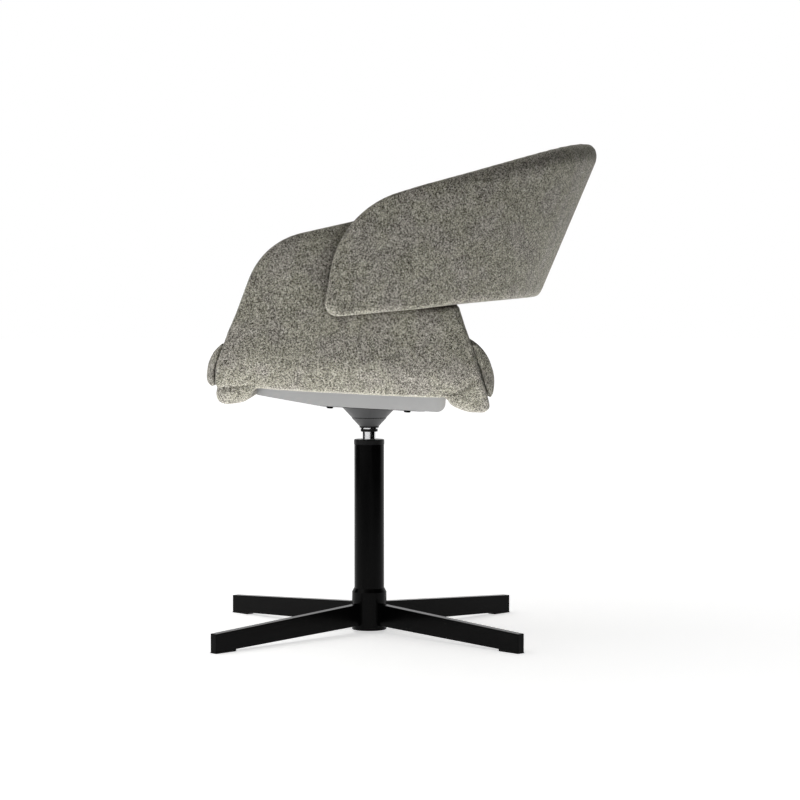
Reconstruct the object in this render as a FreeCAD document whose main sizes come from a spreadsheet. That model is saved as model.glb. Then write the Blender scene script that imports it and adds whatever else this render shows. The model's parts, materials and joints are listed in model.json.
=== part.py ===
"""Swivel dining chair: cross base, swivel column and an upholstered bucket seat.

Lengths are in millimetres and angles in degrees.
X is the sitter's left, Y runs to the back, Z is up, and the swivel axis meets the floor at the origin.
The seat pieces are drawn in a tilted seat frame: its origin lies on the swivel axis at the underside of
the mounting plate, and its Y axis falls to the rear by the seat tilt.
"""
import FreeCAD, Part
import math
import os
from types import SimpleNamespace

import Sketcher
from FreeCAD import Placement, Rotation, Vector

DRIVING_SIZES = {
    # Cross base
    "base_reach": 328.0,
    "bar_width": 13.5,
    "bar_root_top": 47.0,
    "bar_root_bottom": 12.5,
    "bar_end_top": 29.8,
    "bar_end_bottom": 1.6,
    "bar_edge": 1.2,
    "glide_length": 40.0,
    "glide_bevel": 2.0,
    "glide_pin": 5.0,
    "glide_pin_length": 14.0,
    "hub_diameter": 55.6,
    "hub_bottom": 4.5,
    "hub_top": 71.0,
    "hub_bevel_height": 6.0,
    "hub_bevel": 3.2,
    "plug_height": 4.0,
    # Post and swivel bearing, with the top of the post measured from the underside of the plate
    "post_diameter": 48.0,
    "post_wall": 2.5,
    "post_top": -60.0,
    "cap_height": 8.0,
    "cap_diameter": 48.8,
    "cap_skirt": 40.0,
    "cap_bevel": 1.0,
    "spindle_diameter": 22.6,
    "running_gap": 0.08,
    "bush_bottom": 50.0,
    "bush_height": 30.0,
    "disc_bottom": 16.0,
    "disc_height": 6.0,
    "pin_diameter": 10.0,
    "pin_gap": 0.3,
    "race_diameter": 25.0,
    "race_height": 2.5,
    "ball_diameter": 5.0,
    "ball_gap": 0.05,
    "ball_pitch": 8.75,
    "cage_height": 2.4,
    "clip_height": 1.0,
    "clip_groove": 0.7,
    "washer_height": 1.8,
    # Cone and its rings, with heights measured from the underside of the plate on the axis
    "ring_bottom": -39.7,
    "ring_height": 4.5,
    "ring_diameter": 27.6,
    "slip_height": 1.8,
    "slip_diameter": 28.6,
    "collar_height": 2.4,
    "collar_diameter": 31.4,
    "cone_split": -18.0,
    "cone_split_gap": 1.0,
    "cone_split_diameter": 56.0,
    "cone_slope": 0.95,
    "cone_wall": 2.5,
    "cone_ring_inset": 0.4,
    "socket_diameter": 31.0,
    "socket_bottom": -24.0,
    "taper_start": -28.0,
    "taper_top": -4.0,
    "taper_narrowing": 0.7,
    # Plate, screws and tray, in the seat frame
    "plate_thickness": 4.0,
    "plate_front": -77.0,
    "plate_rear": 89.0,
    "plate_half_width": 80.0,
    "plate_corner": 14.0,
    "screw_x": 62.0,
    "screw_y": 61.0,
    "screw_diameter": 6.0,
    "screw_hole": 6.6,
    "screw_head": 11.0,
    "screw_head_height": 3.3,
    "tee_flange": 18.0,
    "tee_flange_height": 1.5,
    "tee_barrel": 8.0,
    "tray_half_width": 150.0,
    "tray_gap": 3.0,
    "tray_front_height": 16.0,
    "tray_wall": 2.5,
    "tray_corner": 18.0,
    "tray_heel": 13.0,
    "tray_boss": 16.0,
    # Stiff boards inside the upholstery, in the seat frame
    "board": 10.0,
    "board_corner": 75.0,
    "board_inset": 30.0,
    "band_board": 8.0,
    "band_board_inset": 26.0,
    "back_screw_front": -20.0,
    "back_screw_pitch": 45.0,
    "back_screw_low": 190.0,
    "back_screw_rise": 50.0,
    # Seat cushion, in the seat frame
    "cushion_gap": 0.4,
    "cushion_front": -245.0,
    "cushion_rear": 188.0,
    "cushion_front_top": 107.0,
    "cushion_rear_top": 129.0,
    "cushion_crown": 6.0,
    "cushion_side_round": 22.0,
    "cushion_nose": 60.0,
    "cushion_tail": 72.0,
    "cushion_under": 16.0,
    "cushion_edge": 42.0,
    "cushion_inset": 6.0,
    "cushion_drop": 3.0,
    # Upholstered seat shell, in the seat frame
    "plate_height": 362.0,
    "seat_tilt": 3.0,
    "arm_half_width": 268.0,
    "arm_pad": 38.0,
    "shell_corner": 110.0,
    "shell_bottom": -24.0,
    "shell_floor": 30.0,
    "shell_inner_corner": 66.0,
    "shell_front": -247.5,
    "shell_front_lean": 17.5,
    "shell_front_knee": 60.0,
    "shell_knee_round": 70.0,
    "shell_rear": 192.2,
    "shell_rear_lean": 20.5,
    "arm_top": 296.7,
    "arm_top_slope": 15.7,
    "arm_front_round": 110.0,
    "arm_rear_round": 60.0,
    "front_lip_bottom": 1.5,
    "front_lip_flat": -204.0,
    "front_lip_rise": 12.5,
    "rear_lip_bottom": 9.0,
    "rear_lip_flat": 150.0,
    "rear_lip_rise": 20.0,
    "recess_front": -176.0,
    "recess_rear": 122.0,
    "recess_top": 29.0,
    "lip_round": 14.0,
    "rear_lip_round": 11.5,
    "lip_sweep": 40.0,
    "soft_edge": 11.0,
    "shell_inner_edge": 7.0,
    # Back band
    "band_pad": 34.0,
    "band_back": 191.4,
    "band_recline": 19.85,
    "band_back_radius": 480.0,
    "band_corner_radius": 205.0,
    "band_front": -90.9,
    "band_front_lean": 7.4,
    "band_bottom": 150.9,
    "band_bottom_slope": 8.4,
    "band_top": 318.9,
    "band_top_slope": 20.05,
    "band_front_round": 143.0,
    "band_toe_round": 19.0,
    "band_outer_edge": 18.0,
    "band_inner_edge": 11.0,
}

# Lengths of the blanks that are trimmed to shape, how far the trims reach round them and overrun a face
SEAT_BLANK = 640.0
SEAT_REACH = 420.0
BAND_BLANK = 1300.0
BAND_REACH = 1000.0
TRIM = 20.0


class Size:
    """A length or an angle that carries its value and the sheet expression behind it."""

    def __init__(self, text, value):
        self.text = text
        self.value = value

    def __add__(self, other):
        other = as_size(other)
        return Size(f"({self.text} + {other.text})", self.value + other.value)

    def __radd__(self, other):
        return as_size(other) + self

    def __sub__(self, other):
        other = as_size(other)
        return Size(f"({self.text} - {other.text})", self.value - other.value)

    def __rsub__(self, other):
        return as_size(other) - self

    def __mul__(self, other):
        other = as_size(other)
        return Size(f"({self.text} * {other.text})", self.value * other.value)

    def __rmul__(self, other):
        return as_size(other) * self

    def __truediv__(self, other):
        other = as_size(other)
        return Size(f"({self.text} / {other.text})", self.value / other.value)

    def __neg__(self):
        return Size(f"(0 - {self.text})", -self.value)


def as_size(number):
    """Give a plain number the form of a Size."""
    if isinstance(number, Size):
        return number
    return Size(f"({float(number)!r})", float(number))


def cosine(angle):
    """Cosine of a Size in degrees."""
    return Size(f"cos({angle.text})", math.cos(math.radians(angle.value)))


def tangent(angle):
    """Tangent of a Size in degrees."""
    return Size(f"tan({angle.text})", math.tan(math.radians(angle.value)))


def root(number):
    """Square root of a Size."""
    return Size(f"sqrt({number.text})", math.sqrt(number.value))


def bind(item, name, number):
    """Tie a property to the sheet."""
    item.setExpression(name, as_size(number).text)


DOC = FreeCAD.newDocument("swivel_dining_chair")
SHEET = DOC.addObject("Spreadsheet::Sheet", "Sizes")
for row, (alias, number) in enumerate(DRIVING_SIZES.items(), start=1):
    SHEET.set(f"A{row}", str(number))
    SHEET.setAlias(f"A{row}", alias)
DOC.recompute()
d = SimpleNamespace(**{
    alias: Size(f"Sizes.{alias}", float(SHEET.get(alias)))
    for alias in DRIVING_SIZES
})


def new_body(label):
    """Start a body."""
    body = DOC.addObject("PartDesign::Body", label)
    body.Label = label
    return body


def origin_plane(body, role):
    """One of the three origin planes of a body."""
    return [item for item in body.Origin.OriginFeatures if item.Role == role][0]


def arc_centre(start, end, radius, turn):
    """Centre of an arc under half a circle that turns left (1) or right (-1)."""
    chord = end - start
    across = Vector(-chord.y, chord.x, 0).normalize()
    return start + chord * 0.5 + across * (turn * math.sqrt(radius ** 2 - chord.Length ** 2 / 4))


def draw(body, name, role, loops, height=None):
    """Draw closed loops on an origin plane and tie each corner to the sheet.

    A loop is a list of corners. A corner (x, y) starts a straight line to the next corner, and a corner
    (x, y, radius, turn) starts an arc that turns left (1) or right (-1).
    """
    sketch = body.newObject("Sketcher::SketchObject", f"{body.Label}_{name}")
    sketch.AttachmentSupport = (origin_plane(body, role), [""])
    sketch.MapMode = "FlatFace"
    if height is not None:
        bind(sketch, "AttachmentOffset.Base.z", height)
    for loop in loops:
        draw_loop(sketch, loop)
    return sketch


def draw_loop(sketch, loop):
    """Draw one closed loop in a sketch."""
    places = [Vector(as_size(corner[0]).value, as_size(corner[1]).value, 0) for corner in loop]
    ends = []
    for number, corner in enumerate(loop):
        start = places[number]
        end = places[(number + 1) % len(loop)]
        if len(corner) == 2:
            line = sketch.addGeometry(Part.LineSegment(start, end))
            ends.append((line, 1, 2))
            continue
        radius = as_size(corner[2])
        centre = arc_centre(start, end, radius.value, corner[3])
        first, last = (start, end) if corner[3] > 0 else (end, start)
        begin = math.atan2(first.y - centre.y, first.x - centre.x)
        finish = math.atan2(last.y - centre.y, last.x - centre.x)
        circle = Part.Circle(centre, Vector(0, 0, 1), radius.value)
        arc = sketch.addGeometry(Part.ArcOfCircle(circle, begin, finish))
        ends.append((arc, 1, 2) if corner[3] > 0 else (arc, 2, 1))
        tie(sketch, Sketcher.Constraint("Radius", arc, radius.value), radius)
    for number, corner in enumerate(loop):
        edge, start_point, end_point = ends[number]
        next_edge, next_start, _ = ends[(number + 1) % len(loop)]
        sketch.addConstraint(Sketcher.Constraint("Coincident", edge, end_point, next_edge, next_start))
        for axis, number_size in (("X", as_size(corner[0])), ("Y", as_size(corner[1]))):
            if number_size.value == 0.0:
                line = -2 if axis == "X" else -1
                sketch.addConstraint(Sketcher.Constraint("PointOnObject", edge, start_point, line))
            else:
                rule = Sketcher.Constraint(f"Distance{axis}", -1, 1, edge, start_point, number_size.value)
                tie(sketch, rule, number_size)


def tie(sketch, rule, number):
    """Add a constraint and tie its value to the sheet."""
    index = sketch.addConstraint(rule)
    if "Sizes." in number.text:
        sketch.setExpression(f"Constraints[{index}]", number.text)


def feature(body, kind, name):
    """Add a feature to a body."""
    return body.newObject(f"PartDesign::{kind}", f"{body.Label}_{name}")


def pad(body, name, sketch, length, middle=False, reverse=False):
    """Extrude a sketch."""
    item = feature(body, "Pad", name)
    item.Profile = sketch
    item.Midplane = middle
    item.Reversed = reverse
    bind(item, "Length", length)
    DOC.recompute()
    return item


def pocket(body, name, sketch, length, middle=False, reverse=False):
    """Cut the extrusion of a sketch out of a body."""
    item = feature(body, "Pocket", name)
    item.Profile = sketch
    item.Midplane = middle
    item.Reversed = reverse
    bind(item, "Length", length)
    DOC.recompute()
    return item


def turn(label, outline):
    """A body turned about Z from an outline of radius and height."""
    body = new_body(label)
    item = feature(body, "Revolution", "turned")
    item.Profile = draw(body, "outline", "XZ_Plane", [outline])
    item.ReferenceAxis = (item.Profile[0], ["V_Axis"])
    item.Angle = 360
    DOC.recompute()
    return body


def ring(label, inner, outer, low, high):
    """A plain ring about Z, or a disc if the inner radius is zero."""
    return turn(label, [(inner, low), (outer, low), (outer, high), (inner, high)])


def circles(body, name, role, places, radius, height):
    """A sketch of equal circles, parallel to an origin plane."""
    sketch = draw(body, name, role, [], height)
    radius = as_size(radius)
    for place in places:
        across = as_size(place[0])
        along = as_size(place[1])
        centre = Vector(across.value, along.value, 0)
        circle = sketch.addGeometry(Part.Circle(centre, Vector(0, 0, 1), radius.value))
        tie(sketch, Sketcher.Constraint("Radius", circle, radius.value), radius)
        for axis, number in (("X", across), ("Y", along)):
            if number.value == 0.0 and "Sizes." not in number.text:
                line = -2 if axis == "X" else -1
                sketch.addConstraint(Sketcher.Constraint("PointOnObject", circle, 3, line))
            else:
                tie(sketch, Sketcher.Constraint(f"Distance{axis}", -1, 1, circle, 3, number.value), number)
    return sketch


def discs(body, name, role, places, radius, start, length):
    """Add round studs that run from start along the normal of an origin plane."""
    middle = as_size(start) + as_size(length) / 2
    sketch = circles(body, f"{name}_circles", role, places, radius, middle)
    return pad(body, name, sketch, length, middle=True)


def holes(body, name, role, places, radius, start, length):
    """Drill round holes that run from start along the normal of an origin plane."""
    middle = as_size(start) + as_size(length) / 2
    sketch = circles(body, f"{name}_circles", role, places, radius, middle)
    return pocket(body, name, sketch, length, middle=True)


def cut(label, base, *tools):
    """A piece with the shapes of other pieces cut out of it."""
    for number, tool in enumerate(tools, start=1):
        item = DOC.addObject("Part::Cut", f"{label}_cut_{number}")
        item.Base = base
        item.Tool = tool
        base = item
    DOC.recompute()
    base.Label = label
    return base


def round_edges(body, name, edges, radius):
    """Round the named edges of the last feature of a body."""
    base = body.Tip
    item = feature(body, "Fillet", name)
    item.Base = (base, edges)
    bind(item, "Radius", radius)
    DOC.recompute()
    return item


def edges_through(body, y, z):
    """Names of the edges along X that pass through a point of the side view."""
    names = []
    for number, edge in enumerate(body.Tip.Shape.Edges, start=1):
        box = edge.BoundBox
        flat = box.YLength < 0.001 and box.ZLength < 0.001
        if flat and abs(box.YMin - y) < 0.01 and abs(box.ZMin - z) < 0.01:
            names.append(f"Edge{number}")
    return names


def round_corner(body, name, corner, radius):
    """Round the corner that the side outline has at a point."""
    y = as_size(corner[0]).value
    z = as_size(corner[1]).value
    return round_edges(body, name, edges_through(body, y, z), radius)


def sharp_edges(shape, wanted):
    """Names of the edges at which two faces meet at an angle, if the middle of the edge is wanted."""
    faces = {}
    for face in shape.Faces:
        for edge in face.Edges:
            faces.setdefault(edge.hashCode(), []).append(face)
    names = []
    for number, edge in enumerate(shape.Edges, start=1):
        sides = faces[edge.hashCode()]
        if len(sides) != 2:
            continue
        first, last = edge.ParameterRange
        middle = edge.valueAt((first + last) / 2)
        normals = [side.normalAt(*side.Surface.parameter(middle)) for side in sides]
        if normals[0].getAngle(normals[1]) > math.radians(6) and wanted(middle):
            names.append(f"Edge{number}")
    return names


def spin(item, angle):
    """Turn a piece about the swivel axis."""
    item.Placement = Placement(Vector(), Rotation(Vector(0, 0, 1), angle))


def in_seat_frame(item):
    """Put a piece that is drawn in the seat frame into place."""
    item.Placement = Placement(Vector(0, 0, d.plate_height.value), Rotation(Vector(1, 0, 0), 0))
    item.setExpression("Placement.Base.z", d.plate_height.text)
    item.setExpression("Placement.Rotation.Angle", f"0 - {d.seat_tilt.text}")


def shell_section(top):
    """U-shaped cross section of the seat shell, from lip to arm top."""
    outer = d.arm_half_width
    inner = outer - d.arm_pad
    outer_z = d.shell_bottom + d.shell_corner
    inner_z = d.shell_floor + d.shell_inner_corner
    outer_x = outer - d.shell_corner
    inner_x = inner - d.shell_inner_corner
    return [
        (-outer_x, d.shell_bottom),
        (outer_x, d.shell_bottom, d.shell_corner, 1),
        (outer, outer_z),
        (outer, top),
        (inner, top),
        (inner, inner_z, d.shell_inner_corner, -1),
        (inner_x, d.shell_floor),
        (-inner_x, d.shell_floor, d.shell_inner_corner, -1),
        (-inner, inner_z),
        (-inner, top),
        (-outer, top),
        (-outer, outer_z, d.shell_corner, 1),
    ]


def crossing(edge_y, edge_slope, top_z, top_slope):
    """Corner of a steep edge y = edge_y + z * edge_slope and a flat edge z = top_z + y * top_slope."""
    z = (top_z + edge_y * top_slope) / (1 - edge_slope * top_slope)
    return (edge_y + z * edge_slope, z)


def frame_round(outline, reach):
    """A rectangle well outside a side outline, with the outline as its hole."""
    return [[(-reach, -reach), (reach, -reach), (reach, reach), (-reach, reach)], outline]


def front_knee(front_slope):
    """Point at which the leaning front edge of the arms turns upright into the front lip."""
    return (d.shell_front + d.shell_front_knee * front_slope, d.shell_front_knee)


def build_seat_shell():
    """Upholstered shell: two arms, and a front and a rear lip that join them."""
    body = new_body("seat_shell_form")
    front_slope = tangent(d.shell_front_lean)
    rear_slope = -tangent(d.shell_rear_lean)
    knee = front_knee(front_slope)
    top_slope = tangent(d.arm_top_slope)
    front_top = crossing(d.shell_front, front_slope, d.arm_top, top_slope)
    rear_top = crossing(d.shell_rear, rear_slope, d.arm_top, top_slope)
    corners = {
        "front_knee": knee,
        "front_toe": (knee[0], d.front_lip_bottom),
        "front_sweep": (d.front_lip_flat, d.front_lip_bottom),
        "front_heel": (d.recess_front, d.front_lip_rise),
        "recess_start": (d.recess_front, d.recess_top),
        "recess_end": (d.recess_rear, d.recess_top),
        "rear_heel": (d.recess_rear, d.rear_lip_rise),
        "rear_sweep": (d.rear_lip_flat, d.rear_lip_bottom),
        "rear_toe": (d.shell_rear + d.rear_lip_bottom * rear_slope, d.rear_lip_bottom),
        "rear_top": rear_top,
        "front_top": front_top,
    }
    section = draw(body, "section", "XZ_Plane", [shell_section(rear_top[1] + 20)])
    pad(body, "blank", section, SEAT_BLANK, middle=True)
    side = draw(body, "side", "YZ_Plane", frame_round(list(corners.values()), SEAT_REACH))
    pocket(body, "trim", side, SEAT_BLANK, middle=True)
    radii = {
        "front_knee": d.shell_knee_round,
        "front_toe": d.lip_round,
        "front_sweep": d.lip_sweep,
        "rear_sweep": d.lip_sweep / 2,
        "rear_toe": d.rear_lip_round,
        "rear_top": d.arm_rear_round,
        "front_top": d.arm_front_round,
    }
    for name, radius in radii.items():
        round_corner(body, f"round_{name}", corners[name], radius)
    edges = sharp_edges(body.Tip.Shape, on_shell_outside)
    round_edges(body, "outer_edge", edges, d.soft_edge)
    edges = sharp_edges(body.Tip.Shape, on_shell_inside)
    round_edges(body, "inner_edge", edges, d.shell_inner_edge)
    return body


def outside_recess(point):
    """Whether a point of the shell's edges lies clear of the recess for the tray."""
    beside = d.recess_front.value - 1 < point.y < d.recess_rear.value + 1
    return not (beside and point.z < d.recess_top.value + 1)


def on_shell_outside(point):
    """Whether a point of the shell's edges lies on the outer face, clear of the recess."""
    centre_x = d.arm_half_width.value - d.shell_corner.value
    centre_z = d.shell_bottom.value + d.shell_corner.value
    reach = math.hypot(max(abs(point.x) - centre_x, 0), min(point.z - centre_z, 0))
    return outside_recess(point) and reach > d.shell_corner.value - d.arm_pad.value / 2


def on_shell_inside(point):
    """Whether a point of the shell's edges lies on the inner face, clear of the recess."""
    return outside_recess(point) and not on_shell_outside(point)


def band_plan(margin=0):
    """Section of the back band square to its recline: a U that opens to the front.

    A margin draws the U thinner from both faces.
    """
    inner_half = d.arm_half_width + margin
    outer_half = d.arm_half_width + d.band_pad - margin
    front = 0 - d.band_back_radius / 2
    base = d.band_back * cosine(d.band_recline) - d.band_back_radius
    big = d.band_back_radius - margin
    small = d.band_corner_radius - margin
    inner_big = d.band_back_radius - d.band_pad + margin
    inner_small = d.band_corner_radius - d.band_pad + margin
    apart = d.band_back_radius - d.band_corner_radius
    reach = d.arm_half_width + d.band_pad - d.band_corner_radius
    rise = root(apart * apart - reach * reach)
    centre_y = base + rise
    split = (reach * big / apart, base + rise * big / apart)
    inner_split = (reach * inner_big / apart, base + rise * inner_big / apart)
    return [
        (outer_half, front),
        (outer_half, centre_y, small, 1),
        (split[0], split[1], big, 1),
        (-split[0], split[1], small, 1),
        (-outer_half, centre_y),
        (-outer_half, front),
        (-inner_half, front),
        (-inner_half, centre_y, inner_small, -1),
        (-inner_split[0], inner_split[1], inner_big, -1),
        (inner_split[0], inner_split[1], inner_small, -1),
        (inner_half, centre_y),
        (inner_half, front),
    ]


def on_band_outside(point):
    """Whether a point of the band's edges lies on the outer face rather than the inner face."""
    recline = math.radians(d.band_recline.value)
    plan_y = point.y * math.cos(recline) - point.z * math.sin(recline)
    plan = [(corner[0].value, corner[1].value) for corner in band_plan()]
    outer_half, centre_y = plan[1]
    half_skin = d.band_pad.value / 2
    small = d.band_corner_radius.value
    big = d.band_back_radius.value
    back = d.band_back.value * math.cos(recline)
    if plan_y < centre_y:
        return abs(point.x) > outer_half - half_skin
    if abs(point.x) > plan[2][0] * (big - half_skin) / big:
        return math.hypot(abs(point.x) - outer_half + small, plan_y - centre_y) > small - half_skin
    return math.hypot(point.x, plan_y - back + big) > big - half_skin


def band_blank(body, margin, inset):
    """A leaning U-shaped band, trimmed to the side outline less an inset. Returns its front corners."""
    plan = draw(body, "plan", "XY_Plane", [band_plan(margin)])
    plan.AttachmentOffset = Placement(Vector(), Rotation(Vector(1, 0, 0), 0))
    plan.setExpression("AttachmentOffset.Rotation.Angle", f"0 - {d.band_recline.text}")
    pad(body, "blank", plan, BAND_BLANK, middle=True)
    front_slope = tangent(d.band_front_lean)
    top_slope = tangent(d.band_top_slope)
    bottom_slope = tangent(d.band_bottom_slope)
    far = d.band_back + 300
    front = d.band_front + inset
    top = d.band_top - inset
    bottom = d.band_bottom + inset
    front_top = crossing(front, front_slope, top, top_slope)
    front_toe = crossing(front, front_slope, bottom, bottom_slope)
    outline = [
        front_toe,
        (far, bottom + far * bottom_slope),
        (far, top + far * top_slope),
        front_top,
    ]
    side = draw(body, "side", "YZ_Plane", frame_round(outline, BAND_REACH))
    pocket(body, "trim", side, BAND_BLANK, middle=True)
    return front_top, front_toe


def build_band_space(label):
    """The back band before its edges are rounded."""
    body = new_body(label)
    front_top, front_toe = band_blank(body, as_size(0), as_size(0))
    round_corner(body, "round_front", front_top, d.band_front_round)
    round_corner(body, "round_toe", front_toe, d.band_toe_round)
    return body


def build_back_band():
    """Upholstered back: a leaning band that wraps round the outside of the arms."""
    body = build_band_space("back_band_form")
    round_edges(body, "outer_edge", sharp_edges(body.Tip.Shape, on_band_outside), d.band_outer_edge)
    edges = sharp_edges(body.Tip.Shape, lambda point: not on_band_outside(point))
    round_edges(body, "inner_edge", edges, d.band_inner_edge)
    return body


def build_back_board():
    """Stiff bent board in the middle of the back band."""
    body = new_body("back_board_form")
    margin = (d.band_pad - d.band_board) / 2
    front_top, front_toe = band_blank(body, margin, d.band_board_inset)
    round_corner(body, "round_front", front_top, d.band_front_round - d.band_board_inset)
    round_corner(body, "round_toe", front_toe, d.band_toe_round)
    return body


def build_seat_board():
    """Stiff U-shaped board under the cushion that runs up the middle of both arms."""
    body = new_body("seat_board_form")
    outer = d.arm_half_width - (d.arm_pad - d.board) / 2
    inner = outer - d.board
    low = d.recess_top
    bend = d.board_corner
    inner_bend = bend - d.board
    top = d.arm_top + 60
    section = [
        (0 - outer + bend, low),
        (outer - bend, low, bend, 1),
        (outer, low + bend),
        (outer, top),
        (inner, top),
        (inner, low + bend, inner_bend, -1),
        (outer - bend, low + d.board),
        (0 - outer + bend, low + d.board, inner_bend, -1),
        (0 - inner, low + bend),
        (0 - inner, top),
        (0 - outer, top),
        (0 - outer, low + bend, bend, 1),
    ]
    pad(body, "blank", draw(body, "section", "XZ_Plane", [section]), SEAT_BLANK, middle=True)
    top_slope = tangent(d.arm_top_slope)
    front_slope = tangent(d.shell_front_lean) / 2
    rear_slope = 0 - tangent(d.shell_rear_lean) * 0.75
    front_top = crossing(d.recess_front, front_slope, d.arm_top - d.board_inset, top_slope)
    rear_top = crossing(d.recess_rear, rear_slope, d.arm_top - d.board_inset, top_slope)
    under = low - 10
    outline = [
        (d.recess_front + under * front_slope, under),
        (d.recess_rear + under * rear_slope, under),
        rear_top,
        front_top,
    ]
    side = draw(body, "side", "YZ_Plane", frame_round(outline, SEAT_REACH))
    pocket(body, "trim", side, SEAT_BLANK, middle=True)
    round_corner(body, "round_front", front_top, d.arm_front_round - d.board_inset)
    round_corner(body, "round_rear", rear_top, d.arm_rear_round - d.board_inset)
    return body


def build_cushion_space():
    """The seat shell with a small gap round it, as far as the cushion reaches."""
    body = new_body("cushion_space_form")
    inner = d.arm_half_width - d.arm_pad - d.cushion_gap
    low = d.shell_floor + d.cushion_gap
    corner = d.shell_inner_corner
    outer = d.arm_half_width + TRIM
    under = d.shell_bottom - TRIM
    roof = d.cushion_rear_top + 3 * TRIM
    section = [
        (0 - outer, under),
        (outer, under),
        (outer, roof),
        (inner, roof),
        (inner, low + corner, corner, -1),
        (inner - corner, low),
        (corner - inner, low, corner, -1),
        (0 - inner, low + corner),
        (0 - inner, roof),
        (0 - outer, roof),
    ]
    pad(body, "blank", draw(body, "section", "XZ_Plane", [section]), SEAT_BLANK, middle=True)
    front_slope = tangent(d.shell_front_lean)
    rear_slope = tangent(d.shell_rear_lean)
    front = front_knee(front_slope)
    above = roof + TRIM
    below = under - TRIM
    outline = [
        (front[0] - d.cushion_gap, below),
        (d.shell_rear - below * rear_slope + d.cushion_gap, below),
        (d.shell_rear - above * rear_slope + d.cushion_gap, above),
        (d.shell_front + above * front_slope - d.cushion_gap, above),
        (front[0] - d.cushion_gap, front[1]),
    ]
    side = draw(body, "side", "YZ_Plane", frame_round(outline, SEAT_REACH))
    pocket(body, "trim", side, SEAT_BLANK, middle=True)
    return body


def build_cushion():
    """Thick seat cushion: a crowned top, and a roll in front of the arms and one behind them."""
    body = new_body("seat_cushion_form")
    half = d.arm_half_width - d.cushion_inset
    low = d.shell_floor + d.cushion_gap - d.cushion_drop
    corner = d.shell_corner - d.cushion_inset
    corner_x = d.arm_half_width - d.shell_corner
    corner_z = d.shell_bottom + d.shell_corner
    foot = corner_x + root(corner * corner - (corner_z - low) * (corner_z - low))
    roof = d.cushion_rear_top + TRIM
    section = [
        (0 - foot, low),
        (foot, low, corner, 1),
        (half, corner_z),
        (half, roof),
        (0 - half, roof),
        (0 - half, corner_z, corner, 1),
    ]
    pad(body, "blank", draw(body, "section", "XZ_Plane", [section]), SEAT_BLANK, middle=True)
    nose_y = d.cushion_front + d.cushion_nose
    tail_y = d.cushion_rear - d.cushion_tail
    rise = (d.cushion_rear_top - d.cushion_front_top) / (tail_y - nose_y)
    crown_top = d.cushion_front_top - nose_y * rise
    flat = half - d.cushion_side_round
    flat_top = crown_top - d.cushion_crown
    side_top = flat_top - d.cushion_side_round
    crown = (flat * flat + d.cushion_crown * d.cushion_crown) / (d.cushion_crown * 2)
    above = [
        (half, side_top, d.cushion_side_round, 1),
        (flat, flat_top, crown, 1),
        (0 - flat, flat_top, d.cushion_side_round, 1),
        (0 - half, side_top),
        (0 - half - TRIM, side_top),
        (0 - half - TRIM, roof + 3 * TRIM),
        (half + TRIM, roof + 3 * TRIM),
        (half + TRIM, side_top),
    ]
    item = feature(body, "Pocket", "crown")
    item.Profile = draw(body, "crown_section", "XZ_Plane", [above])
    item.Midplane = True
    item.Length = SEAT_BLANK
    item.UseCustomVector = True
    item.Direction = Vector(0, 1, rise.value)
    item.setExpression("Direction.z", rise.text)
    DOC.recompute()
    outline = [
        (d.cushion_front + d.cushion_under, low),
        (d.cushion_rear - d.cushion_under, low, d.cushion_under, 1),
        (d.cushion_rear, low + d.cushion_under),
        (d.cushion_rear, d.cushion_rear_top - d.cushion_tail, d.cushion_tail, 1),
        (tail_y, d.cushion_rear_top),
        (tail_y, roof + TRIM),
        (nose_y, roof + TRIM),
        (nose_y, d.cushion_front_top, d.cushion_nose, 1),
        (d.cushion_front, d.cushion_front_top - d.cushion_nose),
        (d.cushion_front, low + d.cushion_under, d.cushion_under, 1),
    ]
    side = draw(body, "side", "YZ_Plane", frame_round(outline, SEAT_REACH))
    pocket(body, "trim", side, SEAT_BLANK, middle=True)
    plan = rounded_rectangle(half, d.cushion_front, d.cushion_rear, d.cushion_edge)
    corners = draw(body, "plan", "XY_Plane", frame_round(plan, SEAT_REACH))
    pocket(body, "corners", corners, SEAT_BLANK, middle=True)
    under = [
        (d.recess_front, low - TRIM),
        (d.recess_rear, low - TRIM),
        (d.recess_rear, d.recess_top + d.board),
        (d.recess_front, d.recess_top + d.board),
    ]
    pocket(body, "board_space", draw(body, "board_side", "YZ_Plane", [under]), SEAT_BLANK, middle=True)
    return body


def bar_underside(radius):
    """Height of a base bar's underside at a distance from the axis."""
    fall = (d.bar_root_bottom - d.bar_end_bottom) / (d.base_reach - d.hub_diameter / 2)
    return d.bar_end_bottom + (d.base_reach - radius) * fall


def pin_places():
    """Distances from the axis of the two pins of a glide."""
    return [(d.base_reach - d.glide_length * 0.25, 0), (d.base_reach - d.glide_length * 0.75, 0)]


def build_bar(label, angle):
    """One flat tapered bar of the cross base."""
    body = new_body(label)
    hub = d.hub_diameter / 2
    slope = (d.bar_root_top - d.bar_end_top) / (d.base_reach - hub)
    start = hub - 8
    outline = [
        (start, bar_underside(start)),
        (d.base_reach, d.bar_end_bottom),
        (d.base_reach, d.bar_end_top),
        (start, d.bar_root_top + (hub - start) * slope),
    ]
    pad(body, "bar", draw(body, "side", "XZ_Plane", [outline]), d.bar_width, middle=True)
    far = hub.value + 20
    low = d.bar_end_bottom.value + 3
    edges = sharp_edges(body.Tip.Shape, lambda point: point.x > far and point.z > low)
    round_edges(body, "round_edges", edges, d.bar_edge)
    holes(body, "hub_seat", "XY_Plane", [(0, 0)], hub, 0, 90)
    holes(body, "pin_holes", "XY_Plane", pin_places(), d.glide_pin / 2, 0, d.glide_pin_length)
    spin(body, angle)
    return body


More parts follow.
